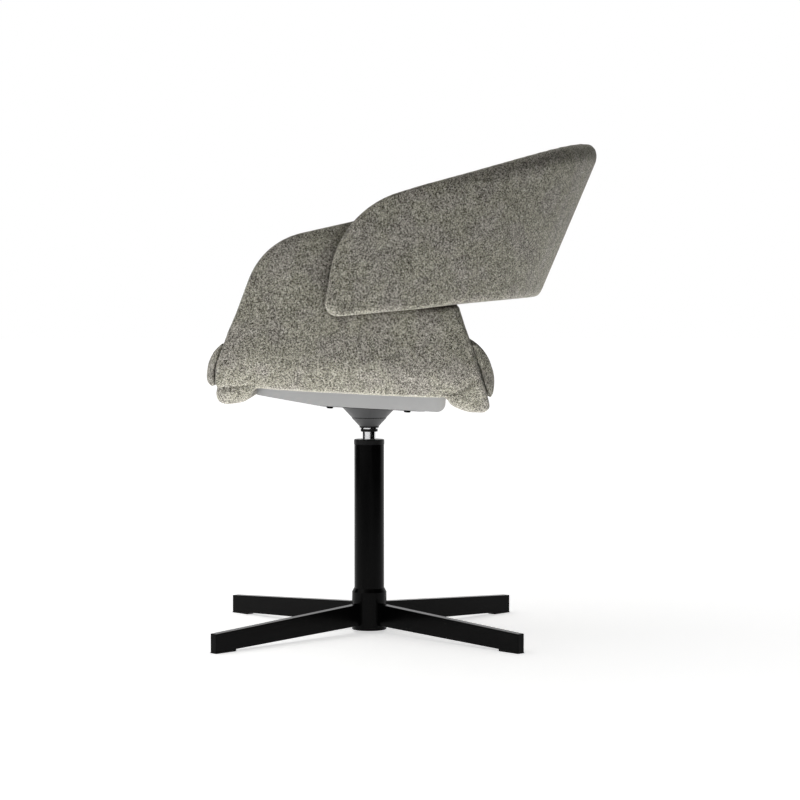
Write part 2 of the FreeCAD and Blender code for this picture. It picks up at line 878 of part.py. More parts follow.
def build_glide(label, angle):
    """Wedge glide under the end of a bar, with two pins that press into the bar."""
    body = new_body(label)
    inner = d.base_reach - d.glide_length
    outline = [
        (inner + d.glide_bevel, 0),
        (d.base_reach, 0),
        (d.base_reach, d.bar_end_bottom),
        (inner, bar_underside(inner)),
        (inner, bar_underside(inner) * 0.4),
    ]
    pad(body, "wedge", draw(body, "side", "XZ_Plane", [outline]), d.bar_width, middle=True)
    discs(body, "pins", "XY_Plane", pin_places(), d.glide_pin / 2, 0.5, d.glide_pin_length - 0.5)
    spin(body, angle)
    return body


def build_post():
    """Hub, post, cap, bushes and the thrust bearing. Returns the fixed pieces."""
    hub = d.hub_diameter / 2
    post = d.post_diameter / 2
    bore = post - d.post_wall
    shaft = d.spindle_diameter / 2 + d.running_gap
    pin_hole = d.pin_diameter / 2 + d.pin_gap
    plug_top = d.hub_bottom + d.plug_height
    disc_top = d.disc_bottom + d.disc_height
    post_top = d.plate_height + d.post_top
    skirt = post_top - d.cap_skirt
    cap = d.cap_diameter / 2
    cap_top = post_top + d.cap_height
    return [
        turn("base_hub", [
            (post, d.hub_bottom),
            (hub, d.hub_bottom),
            (hub, d.hub_top - d.hub_bevel_height),
            (hub - d.hub_bevel, d.hub_top),
            (post, d.hub_top),
        ]),
        ring("hub_plug", 0, post, d.hub_bottom, plug_top),
        ring("post_tube", bore, post, plug_top, post_top),
        turn("post_cap", [
            (shaft, skirt),
            (bore, skirt),
            (bore, post_top),
            (cap, post_top),
            (cap, cap_top - d.cap_bevel),
            (cap - d.cap_bevel, cap_top),
            (shaft, cap_top),
        ]),
        ring("lower_bush", shaft, bore, d.bush_bottom, d.bush_bottom + d.bush_height),
        ring("post_floor", pin_hole, bore, d.disc_bottom, disc_top),
        ring("bearing_race_lower", pin_hole, d.race_diameter / 2, disc_top, disc_top + d.race_height),
    ]


def ball_height():
    """Height of the centres of the bearing balls."""
    return d.disc_bottom + d.disc_height + d.race_height + d.ball_gap + d.ball_diameter / 2


def ball_places():
    """Plan positions of the bearing balls."""
    count = 10
    places = []
    for number in range(count):
        angle = math.radians(360 * number / count + 9)
        places.append((d.ball_pitch * math.cos(angle), d.ball_pitch * math.sin(angle)))
    return places


def build_bearing_cage():
    """Cage and balls of the thrust bearing, which roll at half the speed of the seat."""
    low = ball_height() - d.cage_height / 2
    cage = ring("ball_cage", d.pin_diameter / 2 + 1, d.race_diameter / 2 - 0.5, low, low + d.cage_height)
    radius = d.ball_diameter / 2 + 0.1
    holes(cage, "ball_holes", "XY_Plane", ball_places(), radius, low - 1, d.cage_height + 2)
    balls = DOC.addObject("Part::Compound", "bearing_balls")
    links = []
    for number, place in enumerate(ball_places(), start=1):
        ball = DOC.addObject("Part::Sphere", f"ball_{number}")
        bind(ball, "Radius", d.ball_diameter / 2)
        bind(ball, "Placement.Base.x", place[0])
        bind(ball, "Placement.Base.y", place[1])
        bind(ball, "Placement.Base.z", ball_height())
        links.append(ball)
    balls.Links = links
    balls.Label = "bearing_balls"
    DOC.recompute()
    return [cage, balls]


def trim_to_plate(body):
    """Cut the top of a turned piece to the inclined underside of the mounting plate."""
    slope = tangent(d.seat_tilt)
    outline = [
        (-200, d.plate_height + slope * 200),
        (200, d.plate_height - slope * 200),
        (200, d.plate_height + 100),
        (-200, d.plate_height + 100),
    ]
    pocket(body, "plate_cut", draw(body, "plate_side", "YZ_Plane", [outline]), 400, middle=True)
    return body


def build_spindle():
    """Spindle, its bearing race and clip, and the rings and cones round its top."""
    shaft = d.spindle_diameter / 2
    pin = d.pin_diameter / 2
    race_low = ball_height() + d.ball_diameter / 2 + d.ball_gap
    shoulder = race_low + d.race_height
    washer_top = d.disc_bottom - d.pin_gap
    washer_low = washer_top - d.washer_height
    clip_low = washer_low - d.clip_height
    tip = shaft - d.taper_narrowing
    taper_start = d.plate_height + d.taper_start
    taper_top = d.plate_height + d.taper_top
    socket_bottom = d.plate_height + d.socket_bottom
    ring_bottom = d.plate_height + d.ring_bottom
    ring_top = ring_bottom + d.ring_height
    slip_top = ring_top + d.slip_height
    collar_top = slip_top + d.collar_height
    split = d.cone_split_diameter / 2
    cone_low = d.collar_diameter / 2
    lower_top = d.plate_height + d.cone_split
    upper_low = lower_top + d.cone_split_gap
    upper_top = d.plate_height + 8
    spread = split + (upper_top - upper_low) * d.cone_slope
    socket_taper = (socket_bottom - taper_start) * d.taper_narrowing / (taper_top - taper_start)
    spindle = turn("spindle", [
        (0, clip_low - 1),
        (pin - d.clip_groove, clip_low - 1),
        (pin - d.clip_groove, washer_low),
        (pin, washer_low),
        (pin, shoulder),
        (shaft, shoulder),
        (shaft, taper_start),
        (tip, taper_top),
        (0, taper_top),
    ])
    socket = turn("swivel_socket", [
        (shaft - socket_taper, socket_bottom),
        (d.socket_diameter / 2, socket_bottom),
        (d.socket_diameter / 2, upper_top),
        (0, upper_top),
        (0, taper_top),
        (tip, taper_top),
    ])
    upper = turn("cone_cover_upper", [
        (split, upper_low),
        (spread, upper_top),
        (spread - d.cone_wall, upper_top),
        (split - d.cone_wall, upper_low),
    ])
    lower = turn("cone_cover_lower", [
        (shaft, collar_top),
        (cone_low, collar_top),
        (split, lower_top),
        (split - d.cone_wall, lower_top),
        (cone_low - 1, collar_top + d.cone_wall),
        (shaft, collar_top + d.cone_wall),
    ])
    return [
        spindle,
        ring("bearing_race_upper", pin, d.race_diameter / 2, race_low, shoulder),
        ring("clip_washer", pin, d.race_diameter * 0.36, washer_low, washer_top),
        ring("spindle_clip", pin - d.clip_groove, pin + 2, clip_low, washer_low),
        ring("dust_ring", shaft, d.ring_diameter / 2, ring_bottom, ring_top),
        ring("slip_washer", shaft, d.slip_diameter / 2, ring_top, slip_top),
        ring("cone_collar", shaft, d.collar_diameter / 2, slip_top, collar_top),
        lower,
        ring("cone_ring", split - d.cone_wall, split - d.cone_ring_inset, lower_top, upper_low),
        trim_to_plate(upper),
        trim_to_plate(socket),
    ]


def screw_places():
    """Plan positions of the four plate screws."""
    return [(x * d.screw_x, y * d.screw_y) for x in (-1, 1) for y in (-1, 1)]


def build_plate():
    """Inclined steel plate between the socket and the tray."""
    body = new_body("mounting_plate")
    half = d.plate_half_width
    outline = [
        (0 - half, d.plate_front),
        (half, d.plate_front),
        (half, d.plate_rear),
        (0 - half, d.plate_rear),
    ]
    middle = d.plate_thickness / 2
    pad(body, "sheet", draw(body, "outline", "XY_Plane", [outline], middle), d.plate_thickness, middle=True)
    corners = sharp_edges(body.Tip.Shape, lambda point: abs(point.z - middle.value) < 0.01)
    round_edges(body, "corners", corners, d.plate_corner)
    holes(body, "screw_holes", "XY_Plane", screw_places(), d.screw_hole / 2, -1, d.plate_thickness + 2)
    in_seat_frame(body)
    return body


def rounded_rectangle(half, low, high, radius):
    """Loop of a rectangle that is symmetric about the second axis and has round corners."""
    return [
        (radius - half, low),
        (half - radius, low, radius, 1),
        (half, low + radius),
        (half, high - radius, radius, 1),
        (half - radius, high),
        (radius - half, high, radius, 1),
        (0 - half, high - radius),
        (0 - half, low + radius, radius, 1),
    ]


def tray_block(label, wall, roof):
    """Outer block of the tray, or the block of its hollow if it has a wall."""
    body = new_body(label)
    front = d.recess_front + d.tray_gap + wall
    rear = d.recess_rear - d.tray_gap - wall
    low = d.plate_thickness + wall
    heel = d.tray_heel - wall
    outline = [
        (front, d.tray_front_height + wall),
        (d.plate_front, low),
        (rear - heel, low, heel, 1),
        (rear, low + heel),
        (rear, roof),
        (front, roof),
    ]
    half = d.tray_half_width - wall
    pad(body, "block", draw(body, "side", "YZ_Plane", [outline]), half * 2, middle=True)
    plan = rounded_rectangle(half, front, rear, d.tray_corner - wall)
    pocket(body, "corners", draw(body, "plan", "XY_Plane", frame_round(plan, 300)), 200, middle=True)
    return body


def build_tray():
    """Shallow tray that fills the recess between the lips and carries the seat on four bosses."""
    block = tray_block("seat_tray_block", as_size(0), d.recess_top)
    holes(block, "screw_holes", "XY_Plane", screw_places(), d.screw_hole / 2, 0, d.recess_top + 5)
    hollow = tray_block("seat_tray_hollow", d.tray_wall, d.recess_top + 5)
    holes(hollow, "bosses", "XY_Plane", screw_places(), d.tray_boss / 2, 0, d.recess_top + 10)
    in_seat_frame(block)
    in_seat_frame(hollow)
    DOC.recompute()
    return cut("seat_tray", block, hollow)


def build_plate_screws():
    """Four button-head screws that hold the plate and the tray to the seat board."""
    body = new_body("plate_screws")
    body.AllowCompound = True
    reach = d.recess_top + d.board - 1
    discs(body, "shanks", "XY_Plane", screw_places(), d.screw_diameter / 2, 0, reach)
    height = d.screw_head_height
    discs(body, "heads", "XY_Plane", screw_places(), d.screw_head / 2, 0 - height, height)
    rims = sharp_edges(body.Tip.Shape, lambda point: point.z < 0.1 - d.screw_head_height.value)
    round_edges(body, "head_round", rims, d.screw_head_height * 0.6)
    holes(body, "sockets", "XY_Plane", screw_places(), d.screw_diameter / 3, 0 - d.screw_head_height, 2)
    in_seat_frame(body)
    return body


def build_seat_nuts():
    """Four tee nuts pressed into the top of the seat board."""
    body = new_body("seat_nuts")
    body.AllowCompound = True
    top = d.recess_top + d.board
    discs(body, "flanges", "XY_Plane", screw_places(), d.tee_flange / 2, top, d.tee_flange_height)
    discs(body, "barrels", "XY_Plane", screw_places(), d.tee_barrel / 2, d.recess_top + 1, d.board - 1)
    holes(body, "threads", "XY_Plane", screw_places(), d.screw_diameter / 2, 0, top - 1)
    in_seat_frame(body)
    return body


def back_places():
    """Side positions of the screws that join the back to the arms."""
    return [
        (d.back_screw_front + d.back_screw_pitch * column, d.back_screw_low + d.back_screw_rise * line)
        for column in (0, 1) for line in (0, 1)
    ]


def both_sides(body, name, radius, start, length):
    """Add studs along X at the back screws on the left and the right."""
    discs(body, f"{name}_left", "YZ_Plane", back_places(), radius, start, length)
    discs(body, f"{name}_right", "YZ_Plane", back_places(), radius, 0 - start - length, length)


def build_back_fixings():
    """Screws and nuts that join the board in the back to the boards in the arms."""
    arm_inner = d.arm_half_width - (d.arm_pad + d.board) / 2
    band_outer = d.arm_half_width + (d.band_pad + d.band_board) / 2
    screws = new_body("back_screws")
    screws.AllowCompound = True
    both_sides(screws, "shanks", d.screw_diameter / 2, arm_inner, band_outer - arm_inner - 1)
    both_sides(screws, "heads", d.screw_head / 2, arm_inner - d.screw_head_height, d.screw_head_height)
    nuts = new_body("back_nuts")
    nuts.AllowCompound = True
    both_sides(nuts, "flanges", d.tee_flange / 2, band_outer, d.tee_flange_height)
    both_sides(nuts, "barrels", d.tee_barrel / 2, band_outer - d.band_board + 1, d.band_board - 1)
    reach = band_outer - 1
    holes(nuts, "threads", "YZ_Plane", back_places(), d.screw_diameter / 2, 0 - reach, reach * 2)
    return screws, nuts


def build_seat():
    """Upholstery and the boards and fixings inside it. Returns the pieces in place."""
    plate_screws = build_plate_screws()
    seat_nuts = build_seat_nuts()
    back_screws, back_nuts = build_back_fixings()
    board_form = build_seat_board()
    back_form = build_back_board()
    shell_form = build_seat_shell()
    band_form = build_back_band()
    band_space = build_band_space("band_space_form")
    cushion_form = build_cushion()
    cushion_space = build_cushion_space()
    forms = [back_screws, back_nuts, board_form, back_form, shell_form, band_form, cushion_form]
    forms += [band_space, cushion_space]
    for form in forms:
        in_seat_frame(form)
    DOC.recompute()
    return [
        build_plate(),
        build_tray(),
        plate_screws,
        seat_nuts,
        cut("seat_board", board_form, seat_nuts, plate_screws, back_screws),
        cut("seat_shell", shell_form, band_space, board_form, back_screws),
        cut("seat_cushion", cushion_form, cushion_space, board_form, seat_nuts),
        back_screws,
        back_nuts,
        cut("back_board", back_form, back_nuts, back_screws),
        cut("back_band", band_form, back_form, back_nuts, back_screws),
    ]


def build_chair():
    """All pieces of the chair."""
    sides = {"rear_left": 45, "rear_right": 135, "front_right": 225, "front_left": 315}
    pieces = []
    for name, angle in sides.items():
        pieces.append(build_bar(f"base_bar_{name}", angle))
        pieces.append(build_glide(f"glide_{name}", angle))
    pieces += build_post()
    pieces += build_bearing_cage()
    pieces += build_spindle()
    pieces += build_seat()
    DOC.recompute()
    return pieces


def write_pieces(pieces):
    """Check every object and write one file for each piece."""
    for item in DOC.Objects:
        if "Invalid" in item.State or "Error" in item.State:
            raise RuntimeError(f"{item.Label} did not build: {item.State}")
    os.makedirs("parts", exist_ok=True)
    for piece in pieces:
        shape = piece.Shape
        if shape.isNull() or not shape.isValid() or not shape.Solids:
            raise RuntimeError(f"{piece.Label} has no valid solid")
        shape.exportStep(f"parts/{piece.Label}.step")


write_pieces(build_chair())
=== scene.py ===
"""Looks of the swivel dining chair: felt upholstery, black cross base, column and studio.

Lengths are in metres. X is the sitter's left, Y runs to the back and Z is up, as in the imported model.
"""
from __future__ import annotations

import json
import logging
import math
from dataclasses import dataclass, field
from enum import Enum

import bmesh
import bpy
import numpy as np
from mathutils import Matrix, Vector
from mathutils.bvhtree import BVHTree

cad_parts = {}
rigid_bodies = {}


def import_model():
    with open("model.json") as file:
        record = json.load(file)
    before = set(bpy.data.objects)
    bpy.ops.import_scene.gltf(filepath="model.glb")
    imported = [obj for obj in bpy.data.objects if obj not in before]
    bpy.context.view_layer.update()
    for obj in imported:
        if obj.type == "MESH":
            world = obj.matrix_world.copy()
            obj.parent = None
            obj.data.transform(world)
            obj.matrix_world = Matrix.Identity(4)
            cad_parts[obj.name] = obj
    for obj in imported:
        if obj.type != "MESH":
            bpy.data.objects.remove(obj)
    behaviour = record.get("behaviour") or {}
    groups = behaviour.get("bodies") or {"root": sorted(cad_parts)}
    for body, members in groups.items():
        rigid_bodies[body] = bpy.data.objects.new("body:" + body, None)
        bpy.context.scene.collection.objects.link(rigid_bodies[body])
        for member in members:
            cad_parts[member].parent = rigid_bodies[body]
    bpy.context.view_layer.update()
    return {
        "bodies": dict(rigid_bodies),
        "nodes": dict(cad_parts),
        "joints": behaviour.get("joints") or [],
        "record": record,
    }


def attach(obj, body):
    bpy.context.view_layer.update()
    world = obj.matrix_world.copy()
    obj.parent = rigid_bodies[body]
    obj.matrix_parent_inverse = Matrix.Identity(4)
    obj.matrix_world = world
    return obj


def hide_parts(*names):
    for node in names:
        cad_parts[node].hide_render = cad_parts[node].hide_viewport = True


LOG = logging.getLogger("swivel_dining_chair")
GAP_SHADE = "gap_shade"
WELD = 1e-5
FAR = 1.0
WHITE = (1.0, 1.0, 1.0)
Colour = tuple[float, float, float]


class Body(Enum):
    """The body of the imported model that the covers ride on."""

    SEAT = "seat"


class Slot(Enum):
    """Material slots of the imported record."""

    BLACK_METAL = "black_metal"
    BLACK_PLASTIC = "black_plastic"
    POLISHED_STEEL = "polished_steel"
    PLAIN_STEEL = "plain_steel"
    CONE_GREY = "cone_grey"
    TRAY_GREY = "tray_grey"
    BOARD = "board"
    UPHOLSTERY = "upholstery"


class Sheet:
    """A node tree that is filled by short calls."""

    def __init__(self, tree: bpy.types.NodeTree) -> None:
        """Take over a node tree.

        Args:
            tree: the tree that gets the nodes.
        """
        self.tree = tree
        self.column = 0

    def add(self, kind: str, values: dict | None = None, **settings: object) -> bpy.types.Node:
        """Add a node.

        Args:
            kind: Blender's name of the node type, without the ShaderNode prefix.
            values: input values by socket name or number. A socket there is linked.
            settings: attributes of the node.

        Returns:
            The new node.
        """
        node = self.tree.nodes.new(f"ShaderNode{kind}")
        node.location = (self.column * 180, 0)
        self.column += 1
        for name, value in settings.items():
            setattr(node, name, value)
        for name, value in (values or {}).items():
            self.feed(node.inputs[name], value)
        return node

    def feed(self, socket: bpy.types.NodeSocket, value: object) -> None:
        """Link an output to a socket, or set the socket's value."""
        if isinstance(value, bpy.types.NodeSocket):
            self.tree.links.new(value, socket)
        else:
            socket.default_value = value

    def noise(self, place: bpy.types.NodeSocket, scale: float, detail: float = 2.0,
              rough: float = 0.5, warp: float = 0.0) -> bpy.types.NodeSocket:
        """Add a noise texture and return its value."""
        values = {"Vector": place, "Scale": scale, "Detail": detail, "Roughness": rough, "Distortion": warp}
        return self.add("TexNoise", values).outputs["Fac"]

    def span(self, value: bpy.types.NodeSocket, low: float, high: float,
             to_low: float = 0.0, to_high: float = 1.0) -> bpy.types.NodeSocket:
        """Map a value from one range to another, smoothly and within the ends."""
        values = {0: value, 1: low, 2: high, 3: to_low, 4: to_high}
        return self.add("MapRange", values, interpolation_type="SMOOTHSTEP").outputs[0]

    def math(self, operation: str, first: object, second: object) -> bpy.types.NodeSocket:
        """Combine two values."""
        return self.add("Math", {0: first, 1: second}, operation=operation).outputs[0]

    def blend(self, share: object, first: object, second: object) -> bpy.types.NodeSocket:
        """Mix two colours."""
        node = self.add("Mix", data_type="RGBA")
        self.feed(node.inputs[0], share)
        self.feed(node.inputs[6], first)
        self.feed(node.inputs[7], second)
        return node.outputs[2]


def rgba(colour: Colour) -> tuple[float, float, float, float]:
    """A colour with full opacity."""
    return (*colour, 1.0)


class Effects:
    """Shader node groups that the finishes share."""

    def __init__(self) -> None:
        """Build each group once."""
        self.felt = self.build_felt()
        self.grain = self.build_grain()
        self.drawn = self.build_drawn()

    @staticmethod
    def start(name: str, inputs: dict[str, str], outputs: dict[str, str]) -> tuple[Sheet, dict, bpy.types.Node]:
        """Make an empty group with its sockets.

        Args:
            name: name of the group.
            inputs: socket type of each input.
            outputs: socket type of each output.

        Returns:
            The sheet to fill, the group's inputs by name and its output node.
        """
        tree = bpy.data.node_groups.new(name, "ShaderNodeTree")
        for label, kind in inputs.items():
            tree.interface.new_socket(label, in_out="INPUT", socket_type=f"NodeSocket{kind}")
        for label, kind in outputs.items():
            tree.interface.new_socket(label, in_out="OUTPUT", socket_type=f"NodeSocket{kind}")
        entry = tree.nodes.new("NodeGroupInput")
        leave = tree.nodes.new("NodeGroupOutput")
        return Sheet(tree), entry.outputs, leave

    def build_felt(self) -> bpy.types.NodeTree:
        """Heathered felt: pale and dark tufts of short fibres on a mid shade, darkened by painted shade where the
        gap_shade attribute is set.
        """
        inputs = {"Shade": "Color", "Dark": "Color", "Pale": "Color", "Warm": "Color", "Tuft": "Float"}
        outputs = {"Color": "Color", "Roughness": "Float", "Height": "Float"}
        sheet, given, leave = self.start("heathered_felt", inputs, outputs)
        place = sheet.add("TexCoord").outputs["Object"]
        scaled = sheet.add("VectorMath", {0: place}, operation="SCALE")
        sheet.feed(scaled.inputs["Scale"], given["Tuft"])
        tufts = scaled.outputs[0]
        along = sheet.add("Mapping", {"Vector": tufts, "Scale": (0.45, 1.5, 1.2), "Rotation": (0.4, 0.2, 0.5)})
        across = sheet.add("Mapping", {"Vector": tufts, "Scale": (1.5, 0.5, 1.3), "Rotation": (-0.5, 0.3, -0.3)})
        curls = sheet.noise(tufts, 1.0, 3.0, 0.62, 0.4)
        long_fibres = sheet.noise(along.outputs[0], 1.9, 2.0, 0.6, 0.7)
        short_fibres = sheet.noise(across.outputs[0], 2.1, 2.0, 0.6, 0.7)
        clumps = sheet.noise(tufts, 0.52, 2.0, 0.55, 0.3)
        patches = sheet.noise(place, 75.0, 2.0, 0.5)
        drift = sheet.noise(place, 24.0, 3.0, 0.5)
        # painted shade of gaps and creases, stored on the mesh as the gap_shade attribute
        gap = sheet.add("Attribute", attribute_name=GAP_SHADE).outputs["Fac"]
        clumps = sheet.math("ADD", clumps, sheet.math("MULTIPLY", sheet.math("SUBTRACT", patches, 0.5), 0.22))
        dark = sheet.span(sheet.math("ADD", curls, sheet.math("MULTIPLY", clumps, 0.7)), 0.91, 0.79)
        pale = sheet.span(sheet.math("ADD", long_fibres, sheet.math("MULTIPLY", clumps, 0.45)), 0.75, 0.87)
        fleck = sheet.span(short_fibres, 0.55, 0.68)
        warm = sheet.span(drift, 0.42, 0.62)
        base = sheet.blend(warm, given["Shade"], given["Warm"])
        with_dark = sheet.blend(sheet.math("MULTIPLY", dark, 0.95), base, given["Dark"])
        with_pale = sheet.blend(sheet.math("MULTIPLY", pale, 0.85), with_dark, given["Pale"])
        whole = sheet.blend(sheet.math("MULTIPLY", fleck, 0.65), with_pale, given["Pale"])
        height = sheet.math("ADD", sheet.math("MULTIPLY", curls, 0.6), sheet.math("MULTIPLY", long_fibres, 0.5))
        # painted shade: the felt is blended towards its dark colour in gaps and creases
        sheet.feed(leave.inputs["Color"], sheet.blend(gap, whole, given["Dark"]))
        sheet.feed(leave.inputs["Roughness"], sheet.span(curls, 0.3, 0.7, 0.86, 1.0))
        sheet.feed(leave.inputs["Height"], height)
        return sheet.tree

    def build_grain(self) -> bpy.types.NodeTree:
        """Fine grain of a sprayed or moulded surface, with soft drifts in its gloss and shade."""
        inputs = {"Shade": "Color", "Lifted": "Color", "Gloss Low": "Float", "Gloss High": "Float", "Scale": "Float"}
        outputs = {"Color": "Color", "Roughness": "Float", "Height": "Float"}
        sheet, given, leave = self.start("fine_grain", inputs, outputs)
        place = sheet.add("TexCoord").outputs["Object"]
        scaled = sheet.add("VectorMath", {0: place}, operation="SCALE")
        sheet.feed(scaled.inputs["Scale"], given["Scale"])
        peel = sheet.noise(scaled.outputs[0], 1.0, 2.0, 0.5)
        specks = sheet.noise(scaled.outputs[0], 3.1, 1.0, 0.5)
        drift = sheet.noise(place, 16.0, 4.0, 0.55)
        gloss = sheet.add("MapRange", {0: drift, 1: 0.3, 2: 0.7, 3: given["Gloss Low"], 4: given["Gloss High"]})
        share = sheet.math("MULTIPLY", sheet.span(drift, 0.35, 0.75), sheet.span(specks, 0.35, 0.65, 0.5, 1.0))
        sheet.feed(leave.inputs["Color"], sheet.blend(share, given["Shade"], given["Lifted"]))
        sheet.feed(leave.inputs["Roughness"], gloss.outputs[0])
        sheet.feed(leave.inputs["Height"], peel)
        return sheet.tree

    def build_drawn(self) -> bpy.types.NodeTree:
        """Fine turning marks round the vertical axis of bare metal."""
        inputs = {"Shade": "Color", "Lifted": "Color", "Gloss Low": "Float", "Gloss High": "Float"}
        outputs = {"Color": "Color", "Roughness": "Float", "Height": "Float"}
        sheet, given, leave = self.start("turning_marks", inputs, outputs)
        place = sheet.add("TexCoord").outputs["Object"]
        rings = sheet.add("Mapping", {"Vector": place, "Scale": (12.0, 12.0, 2600.0)})
        marks = sheet.noise(rings.outputs[0], 1.0, 2.0, 0.6)
        drift = sheet.noise(place, 60.0, 3.0, 0.5)
        mixed = sheet.math("ADD", sheet.math("MULTIPLY", marks, 0.7), sheet.math("MULTIPLY", drift, 0.3))
        gloss = sheet.add("MapRange", {0: mixed, 1: 0.3, 2: 0.7, 3: given["Gloss Low"], 4: given["Gloss High"]})
        sheet.feed(leave.inputs["Color"], sheet.blend(sheet.span(mixed, 0.3, 0.7), given["Shade"], given["Lifted"]))
        sheet.feed(leave.inputs["Roughness"], gloss.outputs[0])
        sheet.feed(leave.inputs["Height"], marks)
        return sheet.tree


@dataclass(frozen=True)
class Finish:
    """A finish whose colour, gloss and relief come from a shared effect."""

    name: str
    colours: dict[str, Colour]
    values: dict[str, float]
    bump: float
    bump_depth: float
    metallic: float = 0.0
    specular: float = 0.5
    sheen: float = 0.0
    sheen_colour: Colour = WHITE
    sheen_roughness: float = 0.5

    def material(self, group: bpy.types.NodeTree) -> bpy.types.Material:
        """Make the material.

        Args:
            group: the effect's node group.

        Returns:
            The new material.
        """
        material = bpy.data.materials.new(self.name)
        material.use_nodes = True
        sheet = Sheet(material.node_tree)
        shader = material.node_tree.nodes["Principled BSDF"]
        effect = sheet.add("Group", node_tree=group)
        for label, colour in self.colours.items():
            effect.inputs[label].default_value = rgba(colour)
        for label, value in self.values.items():
            effect.inputs[label].default_value = value
        bump = sheet.add("Bump", {"Strength": self.bump, "Distance": self.bump_depth})
        sheet.feed(bump.inputs["Height"], effect.outputs["Height"])
        sheet.feed(shader.inputs["Base Color"], effect.outputs["Color"])
        sheet.feed(shader.inputs["Roughness"], effect.outputs["Roughness"])
        sheet.feed(shader.inputs["Normal"], bump.outputs["Normal"])
        shader.inputs["Metallic"].default_value = self.metallic
        shader.inputs["Specular IOR Level"].default_value = self.specular
        shader.inputs["Sheen Weight"].default_value = self.sheen
        shader.inputs["Sheen Tint"].default_value = rgba(self.sheen_colour)
        shader.inputs["Sheen Roughness"].default_value = self.sheen_roughness
        return material


class Finishes:
    """Every material of the chair, by material slot."""

    def __init__(self) -> None:
        """Make the shared effects, then one material for each slot."""
        effects = Effects()
        self.by_slot: dict[Slot, bpy.types.Material] = {
            Slot.UPHOLSTERY: Finish(
                "heathered_felt",
                {"Shade": (0.180, 0.173, 0.121), "Dark": (0.017, 0.014, 0.010), "Pale": (0.675, 0.650, 0.568),
                 "Warm": (0.184, 0.168, 0.143)},
                {"Tuft": 760.0}, bump=0.9, bump_depth=0.0009, specular=0.10,
                sheen=0.16, sheen_colour=(0.95, 0.93, 0.86)).material(effects.felt),
            Slot.BLACK_METAL: Finish(
                "black_powder_coat",
                {"Shade": (0.0003, 0.0003, 0.0003), "Lifted": (0.0008, 0.0008, 0.0008)},
                {"Gloss Low": 0.16, "Gloss High": 0.24, "Scale": 900.0},
                bump=0.06, bump_depth=0.0003, specular=0.07).material(effects.grain),
            Slot.BLACK_PLASTIC: Finish(
                "black_plastic",
                {"Shade": (0.003, 0.003, 0.003), "Lifted": (0.006, 0.006, 0.006)},
                {"Gloss Low": 0.30, "Gloss High": 0.44, "Scale": 1300.0},
                bump=0.08, bump_depth=0.0003, specular=0.15).material(effects.grain),
            Slot.CONE_GREY: Finish(
                "dark_grey_plastic",
                {"Shade": (0.026, 0.026, 0.026), "Lifted": (0.035, 0.035, 0.035)},
                {"Gloss Low": 0.36, "Gloss High": 0.48, "Scale": 1100.0},
                bump=0.10, bump_depth=0.0003, specular=0.35).material(effects.grain),
            Slot.TRAY_GREY: Finish(
                "pale_grey_plastic",
                {"Shade": (0.333, 0.332, 0.327), "Lifted": (0.368, 0.367, 0.361)},
                {"Gloss Low": 0.44, "Gloss High": 0.56, "Scale": 1200.0},
                bump=0.10, bump_depth=0.0003, specular=0.35).material(effects.grain),
            Slot.BOARD: Finish(
                "black_stained_board",
                {"Shade": (0.014, 0.013, 0.012), "Lifted": (0.026, 0.025, 0.023)},
                {"Gloss Low": 0.55, "Gloss High": 0.75, "Scale": 160.0},
                bump=0.25, bump_depth=0.0006, specular=0.3).material(effects.grain),
            Slot.POLISHED_STEEL: Finish(
                "polished_steel",
                {"Shade": (0.62, 0.62, 0.63), "Lifted": (0.74, 0.74, 0.75)},
                {"Gloss Low": 0.07, "Gloss High": 0.15},
                bump=0.05, bump_depth=0.0002, metallic=1.0).material(effects.drawn),
            Slot.PLAIN_STEEL: Finish(
                "plain_steel",
                {"Shade": (0.22, 0.22, 0.23), "Lifted": (0.32, 0.32, 0.33)},
                {"Gloss Low": 0.26, "Gloss High": 0.42},
                bump=0.10, bump_depth=0.0003, metallic=1.0).material(effects.drawn),
        }

    def dress(self, piece: bpy.types.Object, slot: Slot) -> None:
        """Give a piece the finish of a slot and no other."""
        piece.data.materials.clear()
        piece.data.materials.append(self.by_slot[slot])


@dataclass
class SeatFrame:
    """The tilted frame of the seat, whose origin is the underside of the mounting plate on the axis."""

    plate_height: float = 0.362
    tilt: float = math.radians(3.0)

    def local(self, points: np.ndarray) -> np.ndarray:
        """Bring points into the seat frame.

        Args:
            points: rows of x, y and z in the chair's frame.

        Returns:
            The same points in the seat frame.
        """
        y = points[:, 1]
        z = points[:, 2] - self.plate_height
        cos, sin = math.cos(self.tilt), math.sin(self.tilt)
        return np.column_stack([points[:, 0], y * cos - z * sin, y * sin + z * cos])


@dataclass
class Skin:
    """Sizes of the work on one upholstered piece."""

    voxel: float = 0.0055
    soften: int = 5
    draw_in: float = 0.5
    let_out: float = -0.52
    inset: float = 0.0025
    dip: float = 0.0010
    crown: float = 0.0030
    near: float = 0.012
    keep_off: float = 0.3
    pressure: float = 4.0
    frames: int = 14
    quality: int = 3
    seam_depth: float = 0.0016
    seam_width: float = 0.0026
    fill: float = 0.92

    def groove(self, away: np.ndarray, times: float = 1.0) -> np.ndarray:
        """Depth of a seam at each distance from its line. A crease is a seam some times as deep and wide."""
        return self.seam_depth * times * np.exp(-(away / self.seam_width / times) ** 2)


def points_of(mesh: bpy.types.Mesh) -> np.ndarray:
    """Vertex places of a mesh as rows."""
    flat = np.empty(len(mesh.vertices) * 3, np.float32)
    mesh.vertices.foreach_get("co", flat)
    return flat.reshape(-1, 3).astype(float)


def normals_of(mesh: bpy.types.Mesh) -> np.ndarray:
    """Vertex normals of a mesh as rows."""
    flat = np.empty(len(mesh.vertices) * 3, np.float32)
    mesh.vertex_normals.foreach_get("vector", flat)
    return flat.reshape(-1, 3).astype(float)


def put_points(mesh: bpy.types.Mesh, points: np.ndarray) -> None:
    """Move the vertices of a mesh."""
    mesh.vertices.foreach_set("co", points.astype(np.float32).ravel())
    mesh.update()


